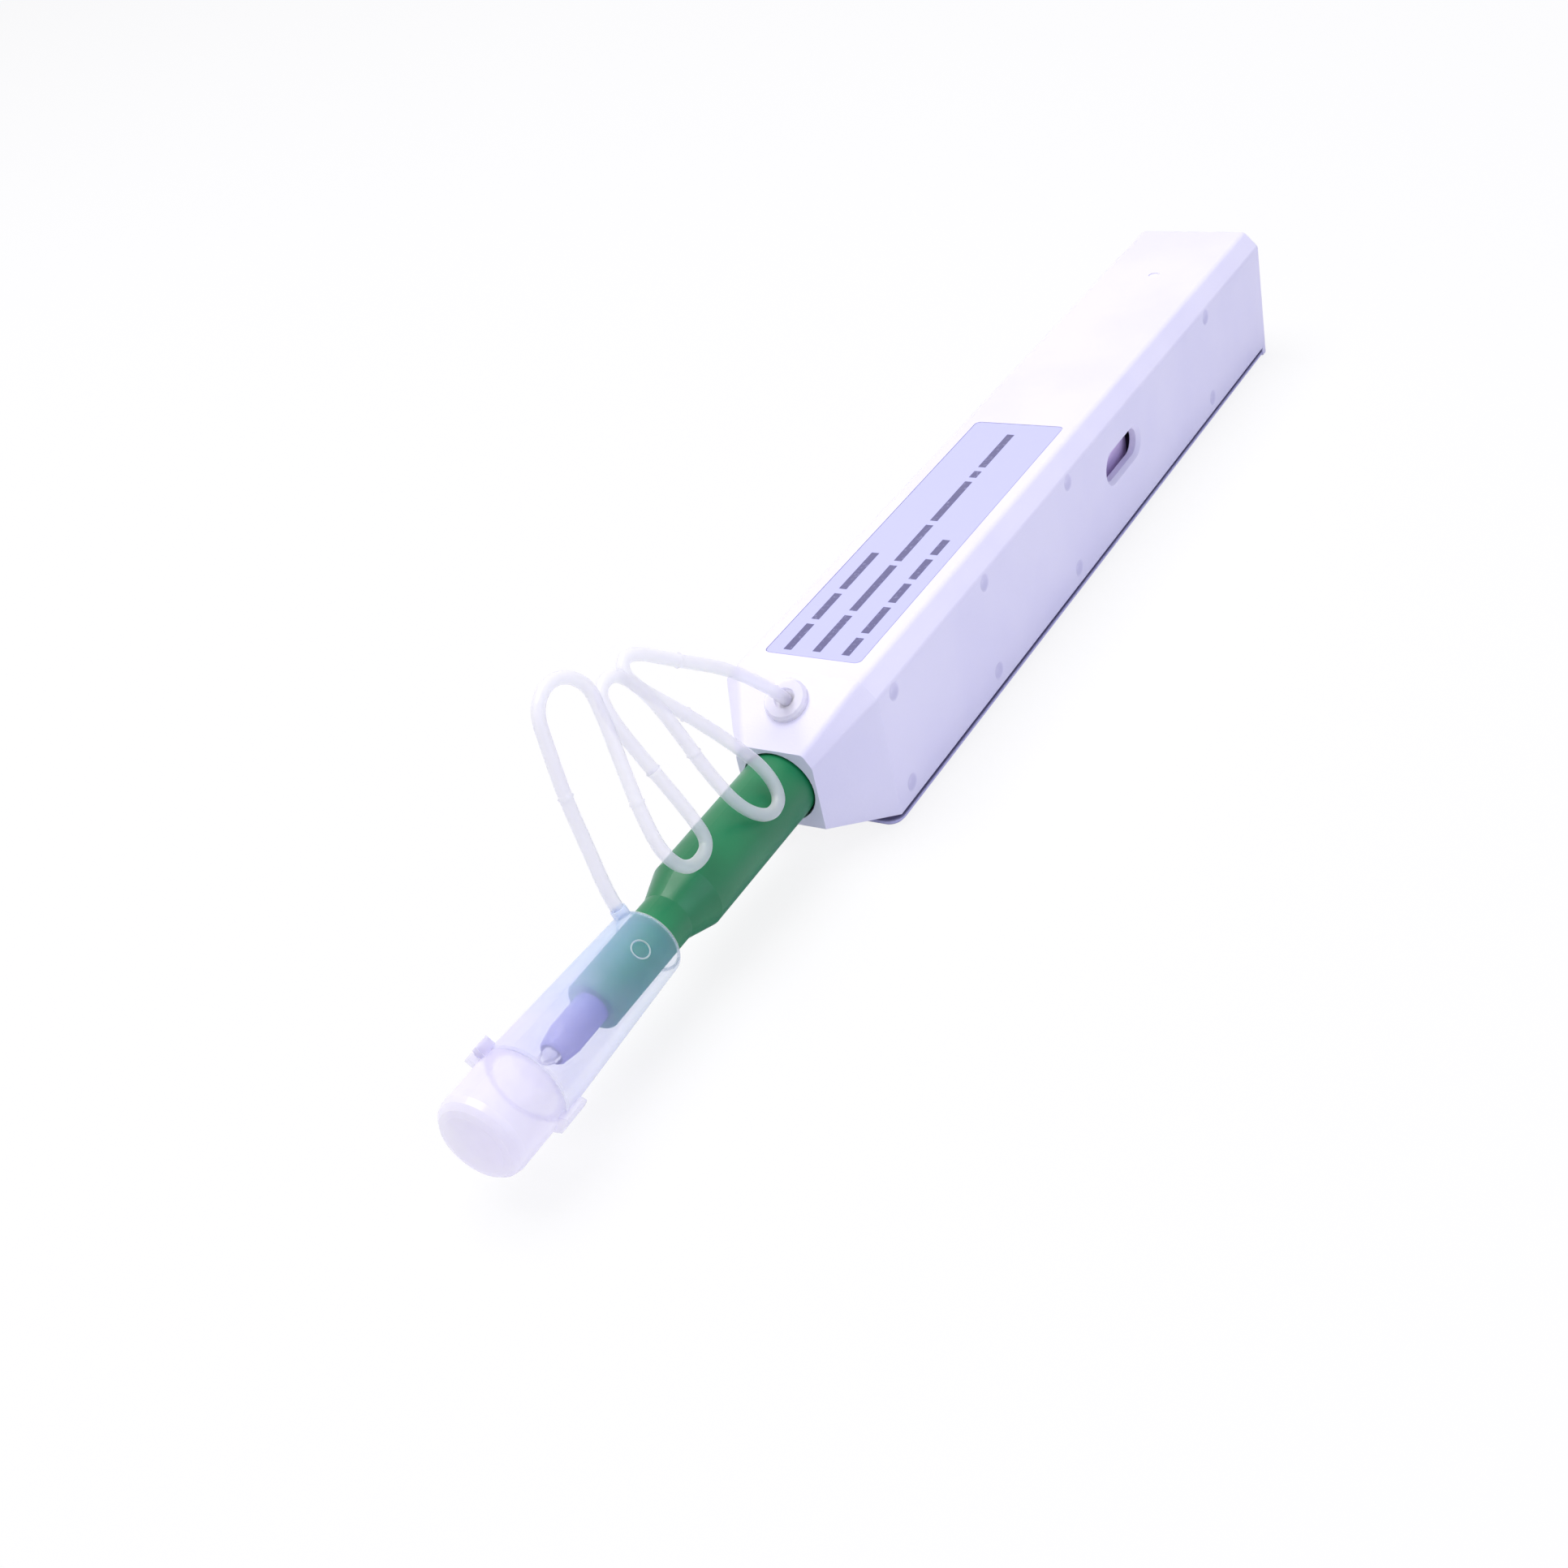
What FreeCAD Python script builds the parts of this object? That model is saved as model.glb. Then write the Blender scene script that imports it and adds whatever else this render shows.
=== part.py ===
import FreeCAD, Part
import math
import os

from FreeCAD import Vector as V

# Push-type cleaner for 2.5 mm fibre connectors. Millimetres, +X towards the nozzle and
# its cap, +Z up out of the label face, +Y towards the side with the window.
# The origin is under the middle of the pen, on the surface it lies on.

# ---- clearances
fit = 0.05          # radial running fit of a pin in its bore
rest_gap = 0.3      # between a moving piece and its seat or stop

# ---- housing
body_length = 130.5
body_width = 21.0
body_height = 20.2
top_flat = 16.8
chamfer_drop = 2.35
wall = 1.5
edge_round = 1.0
back_round = 0.95
nose_length = 8.5
collar_half_width = 5.25
collar_top_half = 4.2
collar_bottom = 4.3
collar_side_top = 13.0
collar_top = 14.8
collar_wall = 3.0
nozzle_z = 9.6

cover_thickness = 1.3
cover_back_inset = 2.0
cover_front_overhang = 1.2
cover_corner = 2.0
seam_gap = 0.35
seam_depth = 0.8

window_from_back = 57.6
window_z = 11.3
window_length = 11.4
window_height = 4.0
window_round = 0.55

dimple_stations = (24.0, 75.6, 101.8, 126.8)
dimple_upper_z = 16.7
dimple_lower_z = 3.5
dimple_diameter = 2.4
dimple_depth = 0.35

label_from_back = 67.0
label_length = 60.0
label_width = 13.1
label_thickness = 0.25
label_corner = 0.8
gate_from_back = 17.3
gate_diameter = 1.7
gate_depth = 0.15

# ---- nozzle, tip and cap, measured forward of the collar
tube_radius = 4.53
opening_gap = 0.3
tube_reach = 21.0
shoulder_length = 4.2
neck_radius = 3.2
neck_front = 40.4
tube_wall = 1.1
tube_flange_radius = 7.0
tube_flange_thickness = 2.0
tip_radius = 2.0
tip_end_radius = 1.55
tip_reach = 7.6
tip_taper = 2.4
tip_seat_depth = 8.4
tip_bore = 1.32
head_radius = 0.95
head_round = 0.8
head_length = 4.2
head_stand_out = 1.2
shaft_radius = 0.8

cap_rim = 29.3
cap_sleeve_length = 23.5
cap_rim_radius = 4.35
cap_end_radius = 5.2
cap_grip_length = 11.0
cap_wall = 0.8
ferrule_bore = 1.27
ferrule_wall = 2.8
lid_length = 8.6
lid_round = 1.6
lid_wall = 0.9
hinge_angle = 137.7
hinge_knuckle = 0.65
hinge_pin = 0.3
hinge_width = 3.4
hinge_middle = 1.2
hinge_gap = 0.2
hinge_reach = 1.3     # from the hinge axis to the end of each web
hinge_rise = 0.5
catch_angle = -30.0
catch_length = 3.0
catch_radius = 1.4
catch_thickness = 0.5
catch_root = 0.8
lug_angle = 112.0
lug_radius = 0.95
lug_height = 0.95
vent_diameter = 2.0
vent_from_rim = 4.6

# ---- carriage: the frame that slides back with the nozzle
stroke = 10.0
frame_side = 1.2
frame_front_from_back = 118.0
bulkhead_thickness = 3.0
frame_headroom = 2.1
rear_block_from_back = 44.0
rear_block_thickness = 3.0
stop_rib_length = 2.0
stop_rib_inner = 6.2
stop_rib_half_height = 3.0
guide_bar_from_back = 109.5
guide_bar_radius = 1.15
guide_bar_rise = 3.0

# ---- rack and reels
gear_module = 0.8
gear_teeth = 16
pressure_angle = 20.0
tooth_backlash = 0.14
gear_addendum = 0.72
rack_addendum = 0.6
tooth_clearance = 0.2
gear_width = 2.4
rack_teeth = 9
take_up_from_back = 84.0
take_up_radius = 6.4
take_up_hub = 3.0
take_up_wound = 4.1
take_up_lane = 4.0
supply_from_back = 58.0
supply_radius = 7.2
supply_hub = 2.9
supply_wound = 5.3
flange_thickness = 0.8
spindle_radius = 1.5
spindle_nose = 1.0
washer_thickness = 0.3
ratchet_teeth = 12
ratchet_depth = 0.6
pawl_post_radius = 0.8
cover_plate_thickness = 1.0
cover_plate_half_height = 3.4
cover_plate_from_back = 77.0
thread_radius = 0.14
strand_lane = 5.6

# ---- rotor that turns the tip
drum_from_back = 94.0
drum_length = 14.0
drum_radius = 3.4
groove_depth = 1.0
groove_axial_width = 2.5
groove_pitch = 20.0
peg_radius = 0.65
peg_from_back = 96.6
peg_boss = 1.2

# ---- springs
return_spring_radius = 3.9
return_spring_wire = 0.9
return_spring_turns = 6
spring_post = 2.7
spring_post_length = 10.0
head_spring_radius = 1.5
head_spring_wire = 0.35
head_spring_turns = 4
head_spring_length = 8.0
coil_runs = 10      # straight runs in one turn of a spring

# ---- tether
strand_diameter = 1.55
plug_radius = 2.75
plug_thickness = 0.95
plug_recess_radius = 1.35
plug_recess = 0.6
plug_stem = 1.05
plug_snap = 1.3
plug_from_slope = 3.1
TETHER_TURNS = [
    (139.20, -2.70, 26.00), (145.10, -4.97, 30.58),
    (150.60, -7.40, 35.10), (153.45, -6.40, 33.30), (148.82, -2.62, 26.16),
    (145.78, 0.46, 20.37), (144.14, 2.79, 15.99), (145.16, 4.65, 13.03),
    (148.37, 4.80, 12.73), (150.80, 3.02, 15.55), (151.50, 0.38, 20.53),
    (151.39, -2.13, 25.23), (151.53, -4.78, 30.23), (153.46, -6.99, 34.38),
    (157.23, -6.89, 34.20), (158.09, -5.15, 30.92), (157.66, -1.85, 24.71),
    (157.20, 1.15, 19.07), (157.52, 3.15, 15.32), (162.13, 3.20, 15.22),
    (163.79, 1.57, 18.28), (162.66, -0.78, 22.70), (160.61, -3.38, 27.59),
    (158.68, -5.65, 31.87), (157.52, -7.66, 35.64), (160.71, -9.20, 38.12),
    (164.98, -8.97, 36.83), (166.38, -7.47, 32.51), (167.68, -5.96, 27.34),
    (168.26, -4.53, 22.08),
]  # corners of the moulded zigzag, x counted from the back of the body

# ---- stations along X
overall_length = (body_length + nose_length + cap_rim + cap_sleeve_length
                  + rest_gap + lid_length)
back_x = -overall_length / 2
slope_x = back_x + body_length
collar_x = slope_x + nose_length
neck_end_x = collar_x + neck_front
tip_end_x = neck_end_x + tip_reach
cap_rim_x = collar_x + cap_rim
cap_end_x = cap_rim_x + cap_sleeve_length
lid_x = cap_end_x + rest_gap
half_width = body_width / 2
inner_half = half_width - wall
inner_top = body_height - wall
frame_front_x = back_x + frame_front_from_back
bulkhead_front_x = frame_front_x - tube_flange_thickness
bulkhead_x = bulkhead_front_x - bulkhead_thickness
rear_block_x = back_x + rear_block_from_back
frame_y = -inner_half + rest_gap
frame_inner_y = frame_y + frame_side
frame_z = cover_thickness + rest_gap
frame_top = body_height - wall - frame_headroom
gear_pitch_radius = gear_module * gear_teeth / 2
supply_x = back_x + supply_from_back
take_up_x = back_x + take_up_from_back
gear_y = frame_inner_y + 2 * rest_gap
drum_x = back_x + drum_from_back
drum_end_x = drum_x + drum_length
guide_x = back_x + guide_bar_from_back
guide_z = nozzle_z + guide_bar_rise
slope_angle = math.atan2(body_height - collar_top, nose_length)


def box(x0, y0, z0, x1, y1, z1):
    """Box between two corners."""
    return Part.makeBox(x1 - x0, y1 - y0, z1 - z0, V(x0, y0, z0))


def bar_y(x, z, radius, y0, y1):
    """Cylinder along +Y."""
    return Part.makeCylinder(radius, y1 - y0, V(x, y0, z), V(0, 1, 0))


def bar_x(radius, x0, x1):
    """Cylinder along the nozzle's axis."""
    return Part.makeCylinder(radius, x1 - x0, V(x0, 0, nozzle_z), V(1, 0, 0))


def polygon(points):
    """Flat face through 3-D corners."""
    return Part.Face(Part.makePolygon([*points, points[0]]))


def prism_y(points, y0, y1):
    """Outline of (x, z) corners, extruded along +Y."""
    return polygon([V(x, y0, z) for x, z in points]).extrude(V(0, y1 - y0, 0))


def turned(edges):
    """Closed outline in the XZ plane turned about the nozzle's axis."""
    face = Part.Face(Part.Wire(edges))
    return face.revolve(V(0, 0, nozzle_z), V(1, 0, 0), 360)


def outline(points):
    """Straight edges through (x, radius) corners, closed."""
    at = [V(x, 0, nozzle_z + r) for x, r in points]
    return [Part.LineSegment(a, b).toShape() for a, b in zip(at, at[1:] + at[:1])]


def loop(corners, radii):
    """Closed wire of straight edges with a tangent arc at each corner that has a radius."""
    edges, ends = [], []
    count = len(corners)
    for i, p in enumerate(corners):
        u = (p - corners[i - 1]).normalize()
        w = (corners[(i + 1) % count] - p).normalize()
        half_turn = u.getAngle(w) / 2
        back = radii[i] * math.tan(half_turn)
        inward = (w - u).normalize()
        middle = p + inward * (radii[i] / math.cos(half_turn) - radii[i])
        ends.append((p - u * back, middle, p + w * back))
    for i, (first, middle, last) in enumerate(ends):
        if radii[i]:
            edges.append(Part.Arc(first, middle, last).toShape())
        edges.append(Part.LineSegment(last, ends[(i + 1) % count][0]).toShape())
    return Part.Wire(edges)


def quarter(x, r, dx, dr, steps):
    """Corners of a quarter round that starts level at (x, r) and ends upright."""
    return [(x + dx * math.sin(math.pi / 2 * k / steps),
             r - dr * (1 - math.cos(math.pi / 2 * k / steps))) for k in range(steps + 1)]


def section(x, half, side_bottom, side_top, flat_half, top, corner=0.0):
    """Six-cornered cross-section of the housing at one station, soft at its ridges."""
    corners = [(-half, side_bottom), (half, side_bottom), (half, side_top),
               (flat_half, top), (-flat_half, top), (-half, side_top)]
    return loop([V(x, y, z) for y, z in corners], [0, 0] + 4 * [corner])


def inner_section(x, half, bottom, side_top, flat_half, top, skin):
    """The same cross-section moved inwards by a wall."""
    run, drop = half - flat_half, top - side_top
    slant = math.hypot(run, drop)
    y0, z0 = half - skin * drop / slant, side_top - skin * run / slant
    slope = drop / run
    return section(x, half - skin, bottom, z0 - (half - skin - y0) * slope,
                   y0 - (top - skin - z0) / slope, top - skin)


def edges_where(shape, test):
    """Edges whose both ends and middle pass a test on their points."""
    found = []
    for e in shape.Edges:
        pts = [v.Point for v in e.Vertexes]
        pts.append(e.valueAt((e.FirstParameter + e.LastParameter) / 2))
        if all(test(p) for p in pts):
            found.append(e)
    return found


def stadium(x, z, length, height, y0, y1):
    """Round-ended slot along X, extruded along +Y."""
    r = height / 2
    a, b = x - length / 2 + r, x + length / 2 - r
    edges = [Part.LineSegment(V(a, y0, z - r), V(b, y0, z - r)).toShape(),
             Part.Arc(V(b, y0, z - r), V(b + r, y0, z), V(b, y0, z + r)).toShape(),
             Part.LineSegment(V(b, y0, z + r), V(a, y0, z + r)).toShape(),
             Part.Arc(V(a, y0, z + r), V(a - r, y0, z), V(a, y0, z - r)).toShape()]
    return Part.Face(Part.Wire(edges)).extrude(V(0, y1 - y0, 0))


def rounded_plate(x0, x1, half, corner, z0, z1, back_corner):
    """Plate with rounded plan corners, front corners and back corners apart."""
    plan = [V(x0, -half, z0), V(x1, -half, z0), V(x1, half, z0), V(x0, half, z0)]
    wire = loop(plan, [back_corner, corner, corner, back_corner])
    return Part.Face(wire).extrude(V(0, 0, z1 - z0))


def facet_ring(radius, centre, along, sides=6):
    """Even-sided ring with the area of a circle, across a direction."""
    even = radius * math.sqrt(2 * math.pi / sides / math.sin(2 * math.pi / sides))
    turn = FreeCAD.Rotation(V(0, 0, 1), V(along))
    corners = [centre + turn.multVec(V(even * math.cos(a), even * math.sin(a), 0))
               for a in (2 * math.pi * k / sides for k in range(sides))]
    return Part.makePolygon(corners + corners[:1])


def route(points, radius, chord_turn=0.45):
    """Tube on straight runs joined by tangent arcs, each arc in a few mitred chords.

    Returns the tube, its length and the arcs' radii.
    """
    line, radii = [points[0]], []
    for a, p, b in zip(points, points[1:], points[2:]):
        u, w = (p - a).normalize(), (b - p).normalize()
        turn = u.getAngle(w)
        back = 0.45 * min((p - a).Length, (b - p).Length)
        r = back / math.tan(turn / 2)
        bend = Part.Arc(p - u * back,
                        p + (w - u).normalize() * (r / math.cos(turn / 2) - r),
                        p + w * back).toShape()
        line += bend.discretize(1 + math.ceil(turn / chord_turn))
        radii.append(round(r, 2))
    line.append(points[-1])
    path = Part.makePolygon(line)
    ring = facet_ring(radius, line[0], line[1] - line[0])
    return path.makePipeShell([ring], True, False, 1), path.Length, radii


def coil(radius, wire_diameter, turns, x0, x1):
    """Spring round the nozzle's axis between two stations, in short straight runs."""
    length = x1 - x0 - 2 * wire_diameter
    steps = turns * coil_runs
    points = []
    for k in range(steps + 1):
        a = 2 * math.pi * k / coil_runs
        points.append(V(x0 + wire_diameter + length * k / steps, radius * math.cos(a),
                        nozzle_z + radius * math.sin(a)))
    ring = facet_ring(wire_diameter / 2, points[0], points[1] - points[0], 4)
    return Part.makePolygon(points).makePipeShell([ring], True, False, 1)


def housing_outer():
    """Long six-sided body that tapers on every side to the nozzle collar."""
    upper = (body_height - chamfer_drop, top_flat / 2, body_height, edge_round)
    body = Part.makeLoft([section(back_x, half_width, 0, *upper),
                          section(slope_x, half_width, 0, *upper)], True, True)
    rear = edges_where(body, lambda p: abs(p.x - back_x) < 0.001 and p.z > -0.001)
    rear = [e for e in rear if max(v.Point.z for v in e.Vertexes) > 0.01]
    body = body.makeFillet(back_round, rear)
    front = section(collar_x, collar_half_width, collar_bottom, collar_side_top,
                    collar_top_half, collar_top, edge_round)
    nose = Part.makeLoft([section(slope_x, half_width, cover_thickness, *upper), front],
                         True, True)
    room = box(back_x + cover_back_inset, -body_width, -1, collar_x, body_width,
               cover_thickness)
    return body.cut(room).fuse(nose).removeSplitter()


def housing_hollow():
    """Room for the mechanism, open at the bottom, with the nozzle's opening."""
    bend_x = slope_x - wall * math.tan(slope_angle / 2)
    front_x = collar_x - collar_wall
    skin = wall / math.cos(slope_angle)
    part = collar_wall / nose_length
    def at_front(collar, body):
        return collar + (body - collar) * part
    upper = (body_height - chamfer_drop, top_flat / 2, body_height, wall)
    cavity = Part.makeLoft(
        [inner_section(back_x + wall, half_width, cover_thickness - 0.5, *upper),
         inner_section(bend_x, half_width, cover_thickness - 0.5, *upper)], True, True)
    front = inner_section(
        front_x, at_front(collar_half_width, half_width),
        at_front(collar_bottom, cover_thickness) + skin,
        at_front(collar_side_top, body_height - chamfer_drop),
        at_front(collar_top_half, top_flat / 2),
        at_front(collar_top, body_height), skin)
    nose = Part.makeLoft([inner_section(bend_x, half_width, cover_thickness, *upper),
                          front], True, True)
    opening = bar_x(tube_radius + opening_gap, front_x - 1, collar_x + 1)
    return [cavity, nose, opening]


def dimples():
    """Shallow round marks in two rows on the window's side."""
    r = dimple_diameter / 2
    ball = (r * r + dimple_depth ** 2) / (2 * dimple_depth)
    marks = []
    for station in dimple_stations:
        for z in (dimple_lower_z, dimple_upper_z):
            centre = V(back_x + station, half_width + ball - dimple_depth, z)
            marks.append(Part.makeSphere(ball, centre))
    return marks


def slope_frame():
    """Point and outward direction of the plug on the sloping front facet."""
    at = V(slope_x + plug_from_slope, 0,
           body_height - math.tan(slope_angle) * plug_from_slope)
    return at, V(math.sin(slope_angle), 0, math.cos(slope_angle))


def upper_housing():
    """Deep moulded shell with window, dimples, stops, cam peg and spring post."""
    shell = housing_outer().cut(housing_hollow())
    window_x = back_x + window_from_back
    shell = shell.cut(stadium(window_x, window_z, window_length, window_height,
                              half_width - wall - 1, half_width + 1))
    rim = edges_where(shell, lambda p: abs(p.y - half_width) < 0.001
                      and abs(p.x - window_x) < window_length / 2 + 0.01
                      and abs(p.z - window_z) < window_height / 2 + 0.01)
    shell = shell.makeChamfer(window_round, rim)
    shell = shell.cut(dimples())
    label_x = back_x + label_from_back
    recess = rounded_plate(label_x - 0.1, label_x + label_length + 0.1,
                           label_width / 2 + 0.1, label_corner,
                           body_height - label_thickness, body_height + 1, label_corner)
    gate = Part.makeCylinder(gate_diameter / 2, 1,
                             V(back_x + gate_from_back, 0, body_height - gate_depth))
    at, out = slope_frame()
    hole = Part.makeCylinder(plug_stem + fit, 3 * wall, at - out * 2 * wall, out)
    shell = shell.cut([recess, gate, hole])
    rib_x = frame_front_x + rest_gap
    ribs = [box(rib_x, side * inner_half if side < 0 else stop_rib_inner,
                nozzle_z - stop_rib_half_height, rib_x + stop_rib_length,
                -stop_rib_inner if side < 0 else inner_half,
                nozzle_z + stop_rib_half_height) for side in (-1, 1)]
    peg_x = back_x + peg_from_back
    peg_tip = nozzle_z + drum_radius - groove_depth + rest_gap
    peg = Part.makeCylinder(peg_radius, inner_top - peg_tip, V(peg_x, 0, peg_tip))
    boss_z = nozzle_z + drum_radius + 1.2
    boss = Part.makeCylinder(peg_boss, inner_top - boss_z, V(peg_x, 0, boss_z))
    post = bar_x(spring_post, back_x + wall, back_x + wall + spring_post_length)
    return shell.fuse([*ribs, peg, boss, post]).removeSplitter()


def rack():
    """Row of straight-flanked teeth that turns the take-up gear."""
    pitch = math.pi * gear_module
    line_z = nozzle_z - gear_pitch_radius
    root_z = line_z - gear_addendum - tooth_clearance
    tip_z = line_z + rack_addendum
    lean = math.tan(math.radians(pressure_angle))
    half = (pitch - tooth_backlash) / 4
    first = take_up_x + pitch / 2 - (rack_teeth - 3) * pitch
    points = [(first - pitch / 2, cover_thickness - 0.1), (first - pitch / 2, root_z)]
    for i in range(rack_teeth):
        x = first + i * pitch
        low, high = half + (line_z - root_z) * lean, half - (tip_z - line_z) * lean
        points += [(x - low, root_z), (x - high, tip_z), (x + high, tip_z),
                   (x + low, root_z)]
    end = first + (rack_teeth - 0.5) * pitch
    points += [(end, root_z), (end, cover_thickness - 0.1)]
    return prism_y(points, gear_y - 0.1, gear_y + gear_width + 0.1)


def bottom_cover():
    """Flat cover with a shadow gap under the shell, carrying the rack."""
    x0, x1 = back_x + cover_back_inset, slope_x + cover_front_overhang
    land = seam_depth
    plate = rounded_plate(x0, x1, half_width, cover_corner, 0,
                          cover_thickness - seam_gap, 0.5)
    under = [e for e in plate.Edges if all(abs(v.Point.z) < 1e-6 for v in e.Vertexes)
             and max(v.Point.x for v in e.Vertexes) > x0 + 0.1]
    plate = plate.makeChamfer(0.4, under)
    step = rounded_plate(x0, slope_x - land, half_width - land, 1.0, 0.6,
                         cover_thickness, 0.2)
    return plate.fuse([step, rack()]).removeSplitter()


def label():
    """Label plate in its shallow recess on the top face."""
    x0 = back_x + label_from_back
    return rounded_plate(x0, x0 + label_length, label_width / 2, label_corner,
                         body_height - label_thickness, body_height - 0.03,
                         label_corner)


def tether_plug():
    """Round button with a sunk centre and a stem that snaps into the slope."""
    at, out = slope_frame()
    def disc(radius, low, high):
        return Part.makeCylinder(radius, high - low, at + out * low, out)
    flange = disc(plug_radius, 0, plug_thickness)
    crown = [e for e in flange.Edges if len(e.Vertexes) == 1
             and e.Vertexes[0].Point.distanceToPoint(at + out * plug_thickness)
             < plug_radius + 0.01]
    flange = flange.makeChamfer(0.3, crown)
    flange = flange.cut(disc(plug_recess_radius, plug_thickness - plug_recess,
                             plug_thickness + 1))
    stem = disc(plug_stem, -wall - 0.5, 0.1)
    snap = disc(plug_snap, -wall - 1.4, -wall - rest_gap)
    return flange.fuse([stem, snap]).removeSplitter()


def tether():
    """Moulded zigzag strand from the plug to the lug on the cap's rim."""
    at, out = slope_frame()
    turn = math.radians(lug_angle)
    radial = V(0, math.cos(turn), math.sin(turn))
    lug = V(cap_rim_x + lug_radius, 0, nozzle_z)
    reach = cap_rim_radius + lug_height
    points = [at + out * (plug_thickness - plug_recess),
              at + out * (plug_thickness + 1.6)]
    points += [V(back_x + x, y, z) for x, y, z in TETHER_TURNS]
    points += [lug + radial * (reach + 1.9), lug + radial * reach]
    solid, length, radii = route(points, strand_diameter / 2)
    share = solid.Volume / (math.pi * strand_diameter ** 2 / 4 * length)
    print("tether length", round(length, 2), "volume share", round(share, 4))
    print("tether radii", radii)
    print("tether points", [tuple(round(c, 3) for c in p) for p in points])
    return solid


def nozzle_tube():
    """Green tube: flange, long barrel, blended shoulder and neck."""
    x0, x1 = bulkhead_front_x, collar_x + tube_reach
    x2, x3 = x1 + shoulder_length, neck_end_x
    r0, r1 = tube_radius, neck_radius
    bore, neck_bore, seat = r0 - tube_wall, 2.35, tip_radius + fit
    seat_x = x3 - tip_seat_depth
    nose, steps = 0.3, 2
    blend = [(x1 + (x2 - x1) * k / steps,
              r1 + (r0 - r1) * (1 + math.cos(math.pi * k / steps)) / 2)
             for k in range(steps + 1)]
    return turned(outline([(x0, bore), (x0, tube_flange_radius),
                           (x0 + tube_flange_thickness, tube_flange_radius),
                           (x0 + tube_flange_thickness, r0), *blend,
                           (x3 - nose, r1), (x3, r1 - nose), (x3, seat),
                           (seat_x, seat), (seat_x, neck_bore), (x1, neck_bore),
                           (x1 - 1, bore)]))


def tip_sleeve():
    """Grey guide sleeve in the neck, tapered at its mouth."""
    x0, x1 = neck_end_x - tip_seat_depth, tip_end_x
    return turned(outline([(x0, tip_bore), (x0, tip_radius),
                           (x1 - tip_taper, tip_radius), (x1 - 0.25, tip_end_radius + 0.04),
                           (x1, tip_end_radius - 0.16), (x1, tip_bore)]))


def rotor_shaft():
    """Shaft to the tip, with a drum whose helical groove runs past the fixed peg."""
    head_x = tip_end_x + head_stand_out - head_length
    shaft = bar_x(shaft_radius, drum_end_x - 0.5, head_x)
    drum = bar_x(drum_radius, drum_x, drum_end_x)
    lead = peg_radius + 0.75
    travel = stroke + 2 * lead
    helix = Part.makeHelix(groove_pitch, travel, drum_radius)
    inner, outer, half = drum_radius - groove_depth, drum_radius + 1, groove_axial_width / 2
    profile = Part.makePolygon([V(inner, 0, -half), V(outer, 0, -half),
                                V(outer, 0, half), V(inner, 0, half), V(inner, 0, -half)])
    groove = Part.Wire(helix).makePipeShell([Part.Wire(profile)], True, True)
    start = 180 - 360 * lead / groove_pitch
    upright = FreeCAD.Rotation(V(0, 1, 0), 90)
    spun = FreeCAD.Rotation(V(1, 0, 0), start)
    groove.Placement = FreeCAD.Placement(
        V(back_x + peg_from_back - lead, 0, nozzle_z), spun.multiply(upright))
    collar_at = frame_front_x + rest_gap + head_spring_length + rest_gap
    collar = bar_x(head_spring_radius + 0.35, collar_at, collar_at + 0.9)
    return drum.cut(groove).fuse([shaft, collar]).removeSplitter()


def tip_head():
    """Blunt head at the front of the shaft that presses the thread on the ferrule."""
    x1 = tip_end_x + head_stand_out
    x0 = x1 - head_length
    dome = quarter(x1 - head_round, head_radius, head_round, head_round, 1)
    return turned(outline([(x0, 0), (x0, head_radius), *dome, (x1, 0)]))


def carriage_frame():
    """Side plate with spindles, front bulkhead and rear spring block."""
    plate = box(rear_block_x, frame_y, frame_z, frame_front_x, frame_inner_y, frame_top)
    bulkhead = box(bulkhead_x, frame_y, frame_z, bulkhead_front_x, -frame_y, frame_top)
    rear = box(rear_block_x, frame_y, frame_z, rear_block_x + rear_block_thickness,
               -frame_y, frame_top)
    boss = bar_x(spring_post, rear_block_x - spring_post_length / 2, rear_block_x + 1)
    deep = frame_inner_y - 0.5
    supply_pin = bar_y(supply_x, nozzle_z, spindle_radius, deep, supply_inner_face()
                       - rest_gap)
    take_pin = bar_y(take_up_x, nozzle_z, spindle_radius, deep, cover_plate_y() - fit)
    take_nose = bar_y(take_up_x, nozzle_z, spindle_nose, cover_plate_y() - 1,
                      cover_plate_y() + cover_plate_thickness)
    guide = bar_y(guide_x, guide_z, guide_bar_radius, deep, strand_lane + 1)
    pawl_x, pawl_z = pawl_pivot()
    post = bar_y(pawl_x, pawl_z, pawl_post_radius, deep, ratchet_y() + flange_thickness
                 + 0.3)
    frame = plate.fuse([bulkhead, rear, boss, supply_pin, take_pin, take_nose, guide,
                        post])
    slots = [box(bulkhead_x - 1, side * 2.05 - 1.05, nozzle_z + 1.4, bulkhead_front_x + 1,
                 side * 2.05 + 1.05, nozzle_z + 3.5) for side in (-1, 1)]
    shaft_bore = bar_x(shaft_radius + fit, bulkhead_x - 1, bulkhead_front_x + 1)
    return frame.cut([*slots, shaft_bore]).removeSplitter()


def cover_plate_y():
    """Inner face of the small plate that carries the take-up spindle's end."""
    return drum_radius + rest_gap


def frame_cover():
    """Plate from the bulkhead back over the take-up reel's spindle."""
    x0 = back_x + cover_plate_from_back
    y0 = cover_plate_y()
    plate = box(x0, y0, nozzle_z - cover_plate_half_height, bulkhead_x,
                y0 + cover_plate_thickness, nozzle_z + guide_bar_rise - guide_bar_radius
                - rest_gap)
    hole = bar_y(take_up_x, nozzle_z, spindle_nose + fit, y0 - 1,
                 y0 + cover_plate_thickness + 1)
    return plate.cut(hole)


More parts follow.
